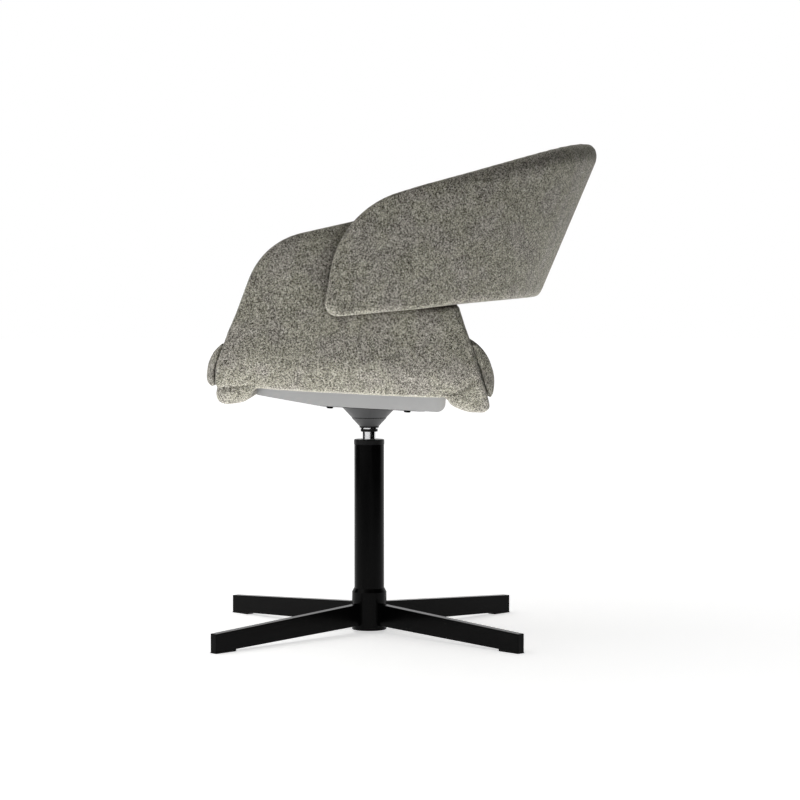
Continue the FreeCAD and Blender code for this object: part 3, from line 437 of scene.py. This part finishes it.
def even_out(mesh: bpy.types.Mesh, values: np.ndarray, rounds: int = 4) -> np.ndarray:
    """Average a value of each vertex with its neighbours' values.

    Args:
        mesh: mesh whose edges say which vertices are neighbours.
        values: one value for each vertex.
        rounds: how often the averaging is repeated.

    Returns:
        The evened values.
    """
    ends = np.empty(len(mesh.edges) * 2, np.int32)
    mesh.edges.foreach_get("vertices", ends)
    first, second = ends[0::2], ends[1::2]
    count = np.bincount(ends, minlength=len(values))
    for _ in range(rounds):
        total = np.bincount(first, values[second], len(values)) + np.bincount(second, values[first], len(values))
        values = (values + total / np.maximum(count, 1)) / 2
    return values


def fade(values: np.ndarray, start: float, end: float) -> np.ndarray:
    """A smooth step from 0 at the start to 1 at the end, which may lie below the start."""
    share = np.clip((values - start) / (end - start), 0.0, 1.0)
    return share * share * (3.0 - 2.0 * share)


def inside_corner(first: np.ndarray, second: np.ndarray, turn: float, radius: float) -> np.ndarray:
    """Distance inside a rounded corner of two straight lines.

    Args:
        first: distance of each point inside the one line.
        second: distance of each point inside the other.
        turn: cosine of the angle between the lines' inward normals.
        radius: the corner's rounding.

    Returns:
        The distance of each point inside the nearer of the lines or the rounding.
    """
    u, v = first - radius, second - radius
    length = np.sqrt(np.maximum(u * u + v * v - 2 * turn * u * v, 0.0) / (1 - turn * turn))
    in_round = (u < turn * v) & (v < turn * u)
    return np.where(in_round, radius - length, np.minimum(first, second))


@dataclass(frozen=True)
class EdgeRound:
    """A rounded edge as it is built, and the tighter rounding that its cover shows."""

    built: float
    shown: float

    def lift(self, deep: np.ndarray, rim: np.ndarray) -> np.ndarray:
        """How far each point moves out along its normal.

        Args:
            deep: distance of each point below the outer face.
            rim: distance of each point inside the rim.

        Returns:
            The move of each point, which is 0 off the rounding.
        """
        high, wide = self.built - deep, self.built - rim
        length = np.maximum(np.hypot(high, wide), 1e-9)
        cos, sin = high / length, wide / length
        flat = self.built / np.maximum(np.maximum(cos, sin), 1e-9)
        core = self.built - self.shown
        middle = core * (cos + sin)
        arc = middle + np.sqrt(np.maximum(middle ** 2 - 2 * core ** 2 + self.shown ** 2, 0.0))
        target = np.where(np.minimum(cos, sin) * flat > core, arc, flat)
        return np.where((high > 0) & (wide > 0), np.clip(target - length, 0.0, self.built / 3), 0.0)


def apply_modifiers(piece: bpy.types.Object) -> None:
    """Replace a piece's mesh by what its modifiers make of it, and remove them."""
    graph = bpy.context.evaluated_depsgraph_get()
    mesh = bpy.data.meshes.new_from_object(piece.evaluated_get(graph))
    old = piece.data
    piece.modifiers.clear()
    piece.data = mesh
    bpy.data.meshes.remove(old)
    mesh.name = piece.name


def add_between(target: bmesh.types.BMesh, node: bpy.types.Object, near: float, far: float) -> None:
    """Add the parts of a node that lie between two distances from the middle plane, closed where they are cut.

    Args:
        target: mesh that gets them.
        node: object whose mesh is copied.
        near: least distance from the plane x = 0.
        far: largest distance from it.
    """
    for side in (-1.0, 1.0):
        part = bmesh.new()
        part.from_mesh(node.data)
        bmesh.ops.remove_doubles(part, verts=part.verts, dist=WELD)
        for distance, keep in ((near, 1.0), (far, -1.0)):
            everything = part.verts[:] + part.edges[:] + part.faces[:]
            result = bmesh.ops.bisect_plane(
                part, geom=everything, dist=1e-6, plane_co=(side * distance, 0, 0),
                plane_no=(side * keep, 0, 0), clear_inner=True)
            rim = [item for item in result["geom_cut"] if isinstance(item, bmesh.types.BMEdge)]
            bmesh.ops.holes_fill(part, edges=rim, sides=0)
        mesh = bpy.data.meshes.new("part")
        part.to_mesh(mesh)
        part.free()
        target.from_mesh(mesh)
        bpy.data.meshes.remove(mesh)


@dataclass
class PaddedPiece:
    """One upholstered piece: the form of a CAD node, softened, swelled by its filling and sewn."""

    name: str
    node: str
    skin: Skin = field(default_factory=Skin)
    seat: SeatFrame = field(default_factory=SeatFrame)

    def build(self, frame: dict, finishes: Finishes) -> bpy.types.Object:
        """Make the piece and let it stand for its node.

        Args:
            frame: the loaded frame.
            finishes: the chair's materials.

        Returns:
            The finished piece.
        """
        piece = self.rough_form(frame["nodes"])
        self.soften(piece)
        self.swell(piece, self.neighbours(frame["nodes"]))
        modifier = piece.modifiers.new("finer", "SUBSURF")
        modifier.levels = 1
        modifier.render_levels = 1
        apply_modifiers(piece)
        self.sew(piece)
        piece.data.shade_smooth()
        finishes.dress(piece, Slot.UPHOLSTERY)
        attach(piece, Body.SEAT.value)
        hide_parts(self.node)
        return piece

    def rough_form(self, nodes: dict[str, bpy.types.Object]) -> bpy.types.Object:
        """Copy the node with its inner hollows closed, and remesh it evenly."""
        form = bmesh.new()
        form.from_mesh(nodes[self.node].data)
        bmesh.ops.remove_doubles(form, verts=form.verts, dist=WELD)
        self.close_hollows(form, nodes)
        mesh = bpy.data.meshes.new(self.name)
        form.to_mesh(mesh)
        form.free()
        piece = bpy.data.objects.new(self.name, mesh)
        bpy.context.scene.collection.objects.link(piece)
        modifier = piece.modifiers.new("even", "REMESH")
        modifier.mode = "VOXEL"
        modifier.voxel_size = self.skin.voxel
        apply_modifiers(piece)
        return piece

    def close_hollows(self, form: bmesh.types.BMesh, nodes: dict[str, bpy.types.Object]) -> None:
        """Fill the hollows for boards and fixings. A plain pad has none that show."""

    def soften(self, piece: bpy.types.Object) -> None:
        """Smooth the form without shrinking it: each step that draws it in is followed by one that lets it out."""
        for turn in range(self.skin.soften):
            for factor in (self.skin.draw_in, self.skin.let_out):
                modifier = piece.modifiers.new(f"soft_{turn}", "SMOOTH")
                modifier.factor = factor
                modifier.iterations = 1
        apply_modifiers(piece)

    def neighbours(self, nodes: dict[str, bpy.types.Object]) -> BVHTree:
        """Surfaces of the other pieces of the seat that this one may not grow into."""
        others = ("seat_shell", "seat_cushion", "back_band", "seat_board", "seat_tray")
        form = bmesh.new()
        for other in others:
            if other != self.node:
                form.from_mesh(nodes[other].data)
        tree = BVHTree.FromBMesh(form)
        form.free()
        return tree

    def swell(self, piece: bpy.types.Object, others: BVHTree) -> None:
        """Let the filling press the cover out, and cap how far each point moves."""
        rest = points_of(piece.data)
        outward = normals_of(piece.data)
        put_points(piece.data, rest - outward * self.skin.inset)
        cloth = piece.modifiers.new("cover", "CLOTH")
        cloth.settings.use_pressure = True
        cloth.settings.uniform_pressure_force = self.skin.pressure
        cloth.settings.effector_weights.gravity = 0.0
        cloth.settings.quality = self.skin.quality
        scene = bpy.context.scene
        cloth.point_cache.frame_start = 1
        cloth.point_cache.frame_end = self.skin.frames
        for number in range(1, self.skin.frames + 1):
            scene.frame_set(number)
        apply_modifiers(piece)
        scene.frame_set(1)
        proud = np.einsum("ij,ij->i", points_of(piece.data) - rest, outward)
        cap = np.array([self.room(others, point) for point in rest])
        proud = even_out(piece.data, np.clip(proud, -self.skin.dip, cap))
        put_points(piece.data, rest + outward * proud[:, None])

    def room(self, others: BVHTree, point: np.ndarray) -> float:
        """How far a point may stand proud of the form: not at all close to a neighbour, and more where it is free."""
        found = others.find_nearest(Vector(point), self.skin.near)
        if found[0] is None:
            return self.skin.crown
        return self.skin.crown * max(0.0, found[3] / self.skin.near - self.skin.keep_off)

    def cover_move(self, local: np.ndarray, outward: np.ndarray) -> np.ndarray:
        """How far the cover moves out along its normal: out where an edge is tight, in along a seam.

        Args:
            local: the points in the seat frame.
            outward: their normals.

        Returns:
            The move of each point.
        """
        return np.zeros(len(local))

    def side_move(self, local: np.ndarray) -> np.ndarray:
        """How far the cover moves away from the middle plane at each point."""
        return np.zeros(len(local))

    def gap_shade(self, local: np.ndarray) -> np.ndarray:
        """How much painted shade darkens the cover in the narrow gaps beside it, from 0 to 1."""
        return np.zeros(len(local))

    def sew(self, piece: bpy.types.Object) -> None:
        """Draw the cover tight at its edges and in along its seams, and store the painted shade of its gaps."""
        points = points_of(piece.data)
        local = self.seat.local(points)
        outward = normals_of(piece.data)
        moved = points + outward * self.cover_move(local, outward)[:, None]
        moved[:, 0] += np.sign(points[:, 0]) * self.side_move(local)
        put_points(piece.data, moved)
        # painted shade: how dark each vertex of the cover is drawn in gaps and creases
        shade = piece.data.attributes.new(GAP_SHADE, "FLOAT", "POINT")
        shade.data.foreach_set("value", self.gap_shade(local).astype(np.float32))


@dataclass(frozen=True)
class BandOutline:
    """Outline of the back band in the side view."""

    front: float = -0.0909
    front_lean: float = math.radians(7.4)
    bottom: float = 0.1509
    bottom_slope: float = math.radians(8.4)
    top: float = 0.3189
    top_slope: float = math.radians(20.05)
    front_round: float = 0.143
    toe_round: float = 0.019

    def inside(self, local: np.ndarray) -> np.ndarray:
        """Distance of each point inside the outline, which is negative outside it."""
        y, z = local[:, 1], local[:, 2]
        front = (y - self.front - z * math.tan(self.front_lean)) * math.cos(self.front_lean)
        bottom = (z - self.bottom - y * math.tan(self.bottom_slope)) * math.cos(self.bottom_slope)
        top = (self.top + y * math.tan(self.top_slope) - z) * math.cos(self.top_slope)
        toe = inside_corner(front, bottom, -math.sin(self.front_lean + self.bottom_slope), self.toe_round)
        brow = inside_corner(front, top, math.sin(self.front_lean + self.top_slope), self.front_round)
        return np.minimum(toe, brow)


@dataclass(frozen=True)
class ArmOutline:
    """Front and rear edges of the arms in the side view."""

    front: float = -0.2475
    front_lean: float = math.radians(17.5)
    knee: float = 0.060
    knee_round: float = 0.070
    rear: float = 0.1922
    rear_lean: float = math.radians(20.5)

    def inside(self, local: np.ndarray) -> np.ndarray:
        """Distance of each point inside the edges, which is negative in front of them and behind them."""
        y, z = local[:, 1], local[:, 2]
        leaning = (y - self.front - z * math.tan(self.front_lean)) * math.cos(self.front_lean)
        upright = y - self.front - self.knee * math.tan(self.front_lean)
        front = inside_corner(leaning, upright, math.cos(self.front_lean), self.knee_round)
        rear = (self.rear - z * math.tan(self.rear_lean) - y) * math.cos(self.rear_lean)
        return np.minimum(front, rear)


def rise_to(rim: np.ndarray, reach: float) -> np.ndarray:
    """A share that grows from 0 at the reach to 1 at the rim."""
    return np.clip(1.0 - rim / reach, 0.0, 1.0) ** 2


@dataclass
class SeatShell(PaddedPiece):
    """Shell of the seat: two arms joined under the cushion by a front and a rear lip."""

    name: str = "seat_shell_cover"
    node: str = "seat_shell"
    skin: Skin = field(default_factory=lambda: Skin(crown=0.0020))
    board_bend: float = 0.186
    arm_face: float = 0.268
    arm_pad: float = 0.038
    floor: float = 0.030
    inner_corner: float = 0.066
    rim_seam: float = 0.012
    outline: ArmOutline = ArmOutline()
    outer_corner: float = 0.110
    outer_floor: float = -0.024
    recess: tuple[float, float, float] = (-0.176, 0.122, 0.029)
    # painted shade over the tray: heights above the recess top at which it starts and is full
    tray_shade: tuple[float, float] = (0.0045, 0.0020)
    tray_edge: float = 0.012
    edge: EdgeRound = EdgeRound(0.011, 0.002)
    roll_foot: tuple[float, float] = (0.012, 0.030)
    roll_top: tuple[float, float] = (0.110, 0.150)
    ease: float = 0.0055
    ease_reach: float = 0.060
    band: BandOutline = BandOutline()
    # painted shade on the arm beside the band: its strength and how fast it fades out from the band
    band_shade: float = 0.60
    band_gap: float = 0.004
    # painted shade in the creases: its strength and width
    crease_shade: float = 0.42
    crease_width: float = 0.0020
    crease_times: float = 1.9
    creases: tuple[tuple[tuple[float, float], ...], ...] = (
        ((-0.2290, 0.0280), (-0.2134, 0.0260), (-0.1931, 0.0288), (-0.1760, 0.0320)),
        ((0.116, 0.0335), (0.128, 0.0350), (0.137, 0.0380), (0.145, 0.0437), (0.1515, 0.0506), (0.1556, 0.0583)))

    def close_hollows(self, form: bmesh.types.BMesh, nodes: dict[str, bpy.types.Object]) -> None:
        """Fill the slots for the board and the screws in the arms."""
        add_between(form, nodes["seat_board"], self.board_bend, self.arm_face)
        add_between(form, nodes["back_screws"], self.board_bend, self.arm_face)

    def cover_move(self, local: np.ndarray, outward: np.ndarray) -> np.ndarray:
        """Tight edges beside the rolls of the cushion, a seam along the rim and the creases of the lips."""
        across, z = np.abs(local[:, 0]), local[:, 2]
        inner_face = self.arm_face - self.arm_pad
        seam_depth = self.round_distance(across, z, inner_face, self.floor, self.inner_corner)
        seam = self.skin.groove(seam_depth - self.rim_seam)
        crease = self.skin.groove(self.crease_distance(local), self.crease_times)
        tight = self.edge.lift(self.face_depth(local), self.outline.inside(local))
        return self.beside_roll(z) * tight - np.maximum(seam, crease)

    def side_move(self, local: np.ndarray) -> np.ndarray:
        """The arms are drawn in to the rolls of the cushion."""
        share = np.clip(1.0 - self.face_depth(local) / (self.arm_pad / 2), 0.0, 1.0)
        near_rim = rise_to(self.outline.inside(local), self.ease_reach)
        return -self.ease * share * near_rim * self.beside_roll(local[:, 2])

    def beside_roll(self, z: np.ndarray) -> np.ndarray:
        """Share by height: 1 beside the rolls, 0 well above and below them."""
        return fade(z, *self.roll_foot) * fade(z, *self.roll_top[::-1])

    def face_depth(self, local: np.ndarray) -> np.ndarray:
        """Distance of each point below the outer face."""
        across = np.abs(local[:, 0])
        return -self.round_distance(across, local[:, 2], self.arm_face, self.outer_floor, self.outer_corner)

    @staticmethod
    def round_distance(across: np.ndarray, z: np.ndarray, face: float, floor: float, corner: float) -> np.ndarray:
        """Distance of each point outside a U with a flat side, a rounded corner and a flat floor."""
        side, low = face - corner, floor + corner
        return np.hypot(np.maximum(across - side, 0.0), np.minimum(z - low, 0.0)) - corner

    def gap_shade(self, local: np.ndarray) -> np.ndarray:
        """Painted shade: dark lines along the lower edge over the tray and beside the band, and dark creases."""
        across, y, z = np.abs(local[:, 0]), local[:, 1], local[:, 2]
        front, rear, top = self.recess
        pale, dark = self.tray_shade
        in_recess = (y > front) & (y < rear) & (across > self.arm_face - self.tray_edge)
        # painted shade along the lower edge, standing in for the shadow gap over the tray
        over_tray = fade(z, top + pale, top + dark) * in_recess
        # painted contact shadow on the arm's outer face beside the band
        outside = -self.band.inside(local)
        beside_band = self.band_shade * np.exp(-np.maximum(outside, 0.0) / self.band_gap)
        on_outer_face = across > self.arm_face - self.edge.built
        # painted shade along the creases of the lips
        in_crease = self.crease_shade * np.exp(-(self.crease_distance(local) / self.crease_width) ** 2)
        return np.maximum(np.maximum(over_tray, in_crease), beside_band * on_outer_face)

    def crease_distance(self, local: np.ndarray) -> np.ndarray:
        """Distance, in the side view, from the creases at which the lips turn down from an arm."""
        nearest = np.full(len(local), FAR)
        for crease in self.creases:
            for start, end in zip(crease, crease[1:]):
                run = np.subtract(end, start)
                share = np.clip((local[:, 1:] - start) @ run / (run @ run), 0.0, 1.0)
                away = local[:, 1:] - start - share[:, None] * run
                nearest = np.minimum(nearest, np.hypot(away[:, 0], away[:, 1]))
        return np.where(np.abs(local[:, 0]) > self.arm_face - self.arm_pad * 2, nearest, FAR)


@dataclass
class SeatCushion(PaddedPiece):
    """Thick seat cushion between the arms, with a roll in front of them and one behind them."""

    name: str = "seat_cushion_cover"
    node: str = "seat_cushion"
    skin: Skin = field(default_factory=lambda: Skin(voxel=0.0045, soften=3))
    outline: ArmOutline = ArmOutline()
    side: float = 0.262
    gap: float = 0.0005
    edge: EdgeRound = EdgeRound(0.008, 0.002)
    edge_zone: float = 0.03
    level: tuple[float, float] = (0.7, 0.3)

    def cover_move(self, local: np.ndarray, outward: np.ndarray) -> np.ndarray:
        """Rolls with a tight edge where their ends meet the arms."""
        across = np.abs(local[:, 0])
        rim = -self.outline.inside(local) - self.gap
        move = self.edge.lift(self.side - across, rim) * fade(np.abs(outward[:, 2]), *self.level)
        return np.where((rim > 0) & (across > self.side - self.edge_zone), move, 0.0)


@dataclass
class BackBand(PaddedPiece):
    """Band of the back, wrapped round the outside of the arms."""

    name: str = "back_band_cover"
    node: str = "back_band"
    skin: Skin = field(default_factory=lambda: Skin(crown=0.0010))
    arm_face: float = 0.268
    pad: float = 0.034
    recline: float = math.radians(19.85)
    back: float = 0.1914
    back_radius: float = 0.480
    corner_radius: float = 0.205
    rim_seam: float = 0.011
    outline: BandOutline = BandOutline()
    edge: EdgeRound = EdgeRound(0.018, 0.007)
    tight: tuple[float, float] = (0.06, 0.15)

    def close_hollows(self, form: bmesh.types.BMesh, nodes: dict[str, bpy.types.Object]) -> None:
        """Fill the hollows for the board, the nuts and the screws."""
        far = self.arm_face + self.pad
        for name in ("back_board", "back_nuts"):
            form.from_mesh(nodes[name].data)
        add_between(form, nodes["back_screws"], self.arm_face, far)

    def cover_move(self, local: np.ndarray, outward: np.ndarray) -> np.ndarray:
        """A tight outer edge at the front, and a seam along the rim, a little out from the inner face."""
        depth = self.band_depth(local)
        tight = self.edge.lift(self.pad - depth, self.outline.inside(local)) * fade(local[:, 1], *self.tight[::-1])
        return tight - self.skin.groove(depth - self.rim_seam)

    def band_depth(self, local: np.ndarray) -> np.ndarray:
        """Distance of each point outside the inner face of the band."""
        across = np.abs(local[:, 0])
        deep = local[:, 1] * math.cos(self.recline) - local[:, 2] * math.sin(self.recline)
        reach = self.arm_face + self.pad - self.corner_radius
        base = self.back * math.cos(self.recline) - self.back_radius
        apart = self.back_radius - self.corner_radius
        centre = base + math.sqrt(apart ** 2 - reach ** 2)
        side = across - self.arm_face
        corner = np.hypot(across - reach, deep - centre) - self.corner_radius + self.pad
        middle = np.hypot(across, deep - base) - self.back_radius + self.pad
        in_middle = across * (centre - base) < reach * (deep - base)
        return np.where(deep < centre, side, np.where(in_middle, middle, corner))


@dataclass
class Upholstery:
    """The three upholstered pieces."""

    pieces: tuple[PaddedPiece, ...] = field(default_factory=lambda: (SeatShell(), SeatCushion(), BackBand()))

    def build(self, frame: dict, finishes: Finishes) -> None:
        """Build each padded piece.

        Args:
            frame: the loaded frame.
            finishes: the chair's materials.
        """
        for padded in self.pieces:
            piece = padded.build(frame, finishes)
            LOG.info("%s: %d faces", piece.name, len(piece.data.polygons))


@dataclass
class MetalWork:
    """Base, column, plate and tray: pieces of the frame whose shape stays."""

    def dress(self, frame: dict, finishes: Finishes) -> None:
        """Give each piece of the frame its finish.

        Args:
            frame: the loaded frame.
            finishes: the chair's materials.
        """
        slots = {row["node"]: Slot(row["material_slot"]) for row in frame["record"]["subparts"]}
        for name, node in sorted(frame["nodes"].items()):
            finishes.dress(node, slots[name])
            LOG.info("%s: %s", name, slots[name].value)


@dataclass
class Studio:
    """Pale floor, soft light and the camera."""

    floor_half: float = 30.0
    camera_place: tuple[float, float, float] = (3.630, 0.0494, 0.5261)
    camera_pitch: float = math.radians(2.42)
    lens: float = 102.06
    sensor: float = 36.0
    world_light: float = 0.43
    dark_side: tuple[float, float, float] = (0.72, 0.69, 0.0)
    dark_light: float = 0.06
    dark_span: tuple[float, float] = (-0.15, 0.60)
    floor_shade: float = 0.90
    floor_lift: tuple[float, float] = (0.58, 0.88)
    lift_reach: tuple[float, float] = (0.5, 3.0)
    top_light_height: float = 2.6
    top_light_size: float = 3.2
    top_light_power: float = 32.0
    top_light_y: float = -0.9
    bounce_height: float = 0.001
    bounce_size: float = 2.6
    bounce_power: float = 60.0
    bounce_colour: Colour = (0.975, 0.980, 1.0)
    bounce_y: float = -0.60
    flag_distance: float = 2.4
    flag_shade: float = 0.004
    flags: tuple[tuple[float, float, float], ...] = ((18.0, 100.0, 1.4), (-124.0, -78.0, 1.4), (-78.0, 18.0, 0.17))

    def build(self) -> None:
        """Set up the whole studio."""
        self.build_floor()
        self.build_world()
        self.build_lamps()
        self.build_flags()
        self.build_camera()
        bpy.context.scene.view_settings.view_transform = "Standard"

    def build_floor(self) -> None:
        """A wide pale floor, lifted to white where the camera or a reflection sees it."""
        half = self.floor_half
        corners = [(-half, -half, 0), (half, -half, 0), (half, half, 0), (-half, half, 0)]
        floor, tree = self.build_card("floor", corners, (0, 1, 2, 3), self.floor_shade)
        sheet = Sheet(tree)
        shader = tree.nodes["Principled BSDF"]
        seen = self.seen_rays(sheet)
        shader.inputs["Emission Color"].default_value = rgba(WHITE)
        place = sheet.add("TexCoord").outputs["Object"]
        away = sheet.add("VectorMath", {0: place}, operation="LENGTH").outputs["Value"]
        lift = sheet.span(away, *self.lift_reach, *self.floor_lift)
        sheet.feed(shader.inputs["Emission Strength"], sheet.math("MULTIPLY", seen, lift))

    @staticmethod
    def build_card(name: str, corners: list, order: tuple[int, ...],
                   shade: float) -> tuple[bpy.types.Object, bpy.types.NodeTree]:
        """Make a flat matt card of the studio.

        Args:
            name: name of the card.
            corners: its four corners.
            order: the order in which its face takes them.
            shade: its grey.

        Returns:
            The card and the node tree of its material.
        """
        mesh = bpy.data.meshes.new(name)
        mesh.from_pydata(corners, [], [order])
        material = bpy.data.materials.new(f"{name}_matt")
        material.use_nodes = True
        shader = material.node_tree.nodes["Principled BSDF"]
        shader.inputs["Base Color"].default_value = rgba((shade,) * 3)
        shader.inputs["Roughness"].default_value = 1.0
        shader.inputs["Specular IOR Level"].default_value = 0.0
        mesh.materials.append(material)
        card = bpy.data.objects.new(name, mesh)
        bpy.context.scene.collection.objects.link(card)
        return card, material.node_tree

    @staticmethod
    def seen_rays(sheet: Sheet) -> bpy.types.NodeSocket:
        """A value of 1 for rays from the camera, from reflections and through glass."""
        path = sheet.add("LightPath")
        glossy = sheet.math("MAXIMUM", path.outputs["Is Camera Ray"], path.outputs["Is Glossy Ray"])
        return sheet.math("MAXIMUM", glossy, path.outputs["Is Transmission Ray"])

    def build_world(self) -> None:
        """A white surround, dimmer as a light than as a background, and dark on the side of the camera."""
        world = bpy.data.worlds.new("white_surround")
        world.use_nodes = True
        sheet = Sheet(world.node_tree)
        background = world.node_tree.nodes["Background"]
        background.inputs["Color"].default_value = rgba(WHITE)
        path = sheet.add("LightPath").outputs
        way = sheet.add("TexCoord").outputs["Generated"]
        facing = sheet.add("VectorMath", {0: way, 1: self.dark_side}, operation="DOT_PRODUCT").outputs["Value"]
        room = sheet.span(facing, *self.dark_span, 1.0, self.dark_light)
        light = sheet.add("MapRange", {0: path["Is Glossy Ray"], 3: self.world_light, 4: 1.0}).outputs[0]
        shown = sheet.math("MAXIMUM", path["Is Camera Ray"], path["Is Transmission Ray"])
        strength = sheet.math("MAXIMUM", shown, sheet.math("MULTIPLY", room, light))
        sheet.feed(background.inputs["Strength"], strength)
        bpy.context.scene.world = world

    def build_lamps(self) -> None:
        """A wide soft lamp overhead, and one on the floor for the light that a bright floor throws up."""
        top = self.build_softbox("top_softbox", self.top_light_size, self.top_light_power)
        top.location = (0.0, self.top_light_y, self.top_light_height)
        bounce = self.build_softbox("floor_bounce", self.bounce_size, self.bounce_power)
        bounce.location = (0.0, self.bounce_y, self.bounce_height)
        bounce.rotation_euler = (math.pi, 0.0, 0.0)
        bounce.data.color = self.bounce_colour
        bounce.visible_camera = False
        bounce.visible_glossy = False

    @staticmethod
    def build_softbox(name: str, size: float, power: float) -> bpy.types.Object:
        """A square soft lamp that faces down."""
        lamp = bpy.data.lights.new(name, "AREA")
        lamp.size = size
        lamp.energy = power
        holder = bpy.data.objects.new(name, lamp)
        bpy.context.scene.collection.objects.link(holder)
        return holder

    def build_flags(self) -> None:
        """Black cards that only a reflection sees: the spindle gets dark stripes and the black metal stays dark."""
        for number, (start, end, height) in enumerate(self.flags):
            turns = (math.radians(start), math.radians(end))
            ends = [Vector((math.cos(turn), math.sin(turn), 0.0)) for turn in turns]
            heights = (Vector(), Vector((0.0, 0.0, height)))
            corners = [way * self.flag_distance + rise for rise in heights for way in ends]
            flag, _ = self.build_card(f"flag_{number}", corners, (0, 1, 3, 2), self.flag_shade)
            for ray in ("camera", "diffuse", "transmission", "shadow"):
                setattr(flag, f"visible_{ray}", False)

    def build_camera(self) -> None:
        """The camera at the photograph's place, looking at the sitter's left side."""
        data = bpy.data.cameras.new("camera")
        data.sensor_width = self.sensor
        data.lens = self.lens
        camera = bpy.data.objects.new("camera", data)
        camera.location = self.camera_place
        camera.rotation_euler = (math.pi / 2 - self.camera_pitch, 0.0, math.pi / 2)
        bpy.context.scene.collection.objects.link(camera)
        bpy.context.scene.camera = camera


def main() -> None:
    """Load the frame, dress it, build the upholstery and set up the studio."""
    logging.basicConfig(level=logging.INFO, format="%(message)s")
    for stale in list(bpy.data.objects):
        bpy.data.objects.remove(stale)
    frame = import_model()
    finishes = Finishes()
    MetalWork().dress(frame, finishes)
    Upholstery().build(frame, finishes)
    Studio().build()


if __name__ == "__main__":
    main()
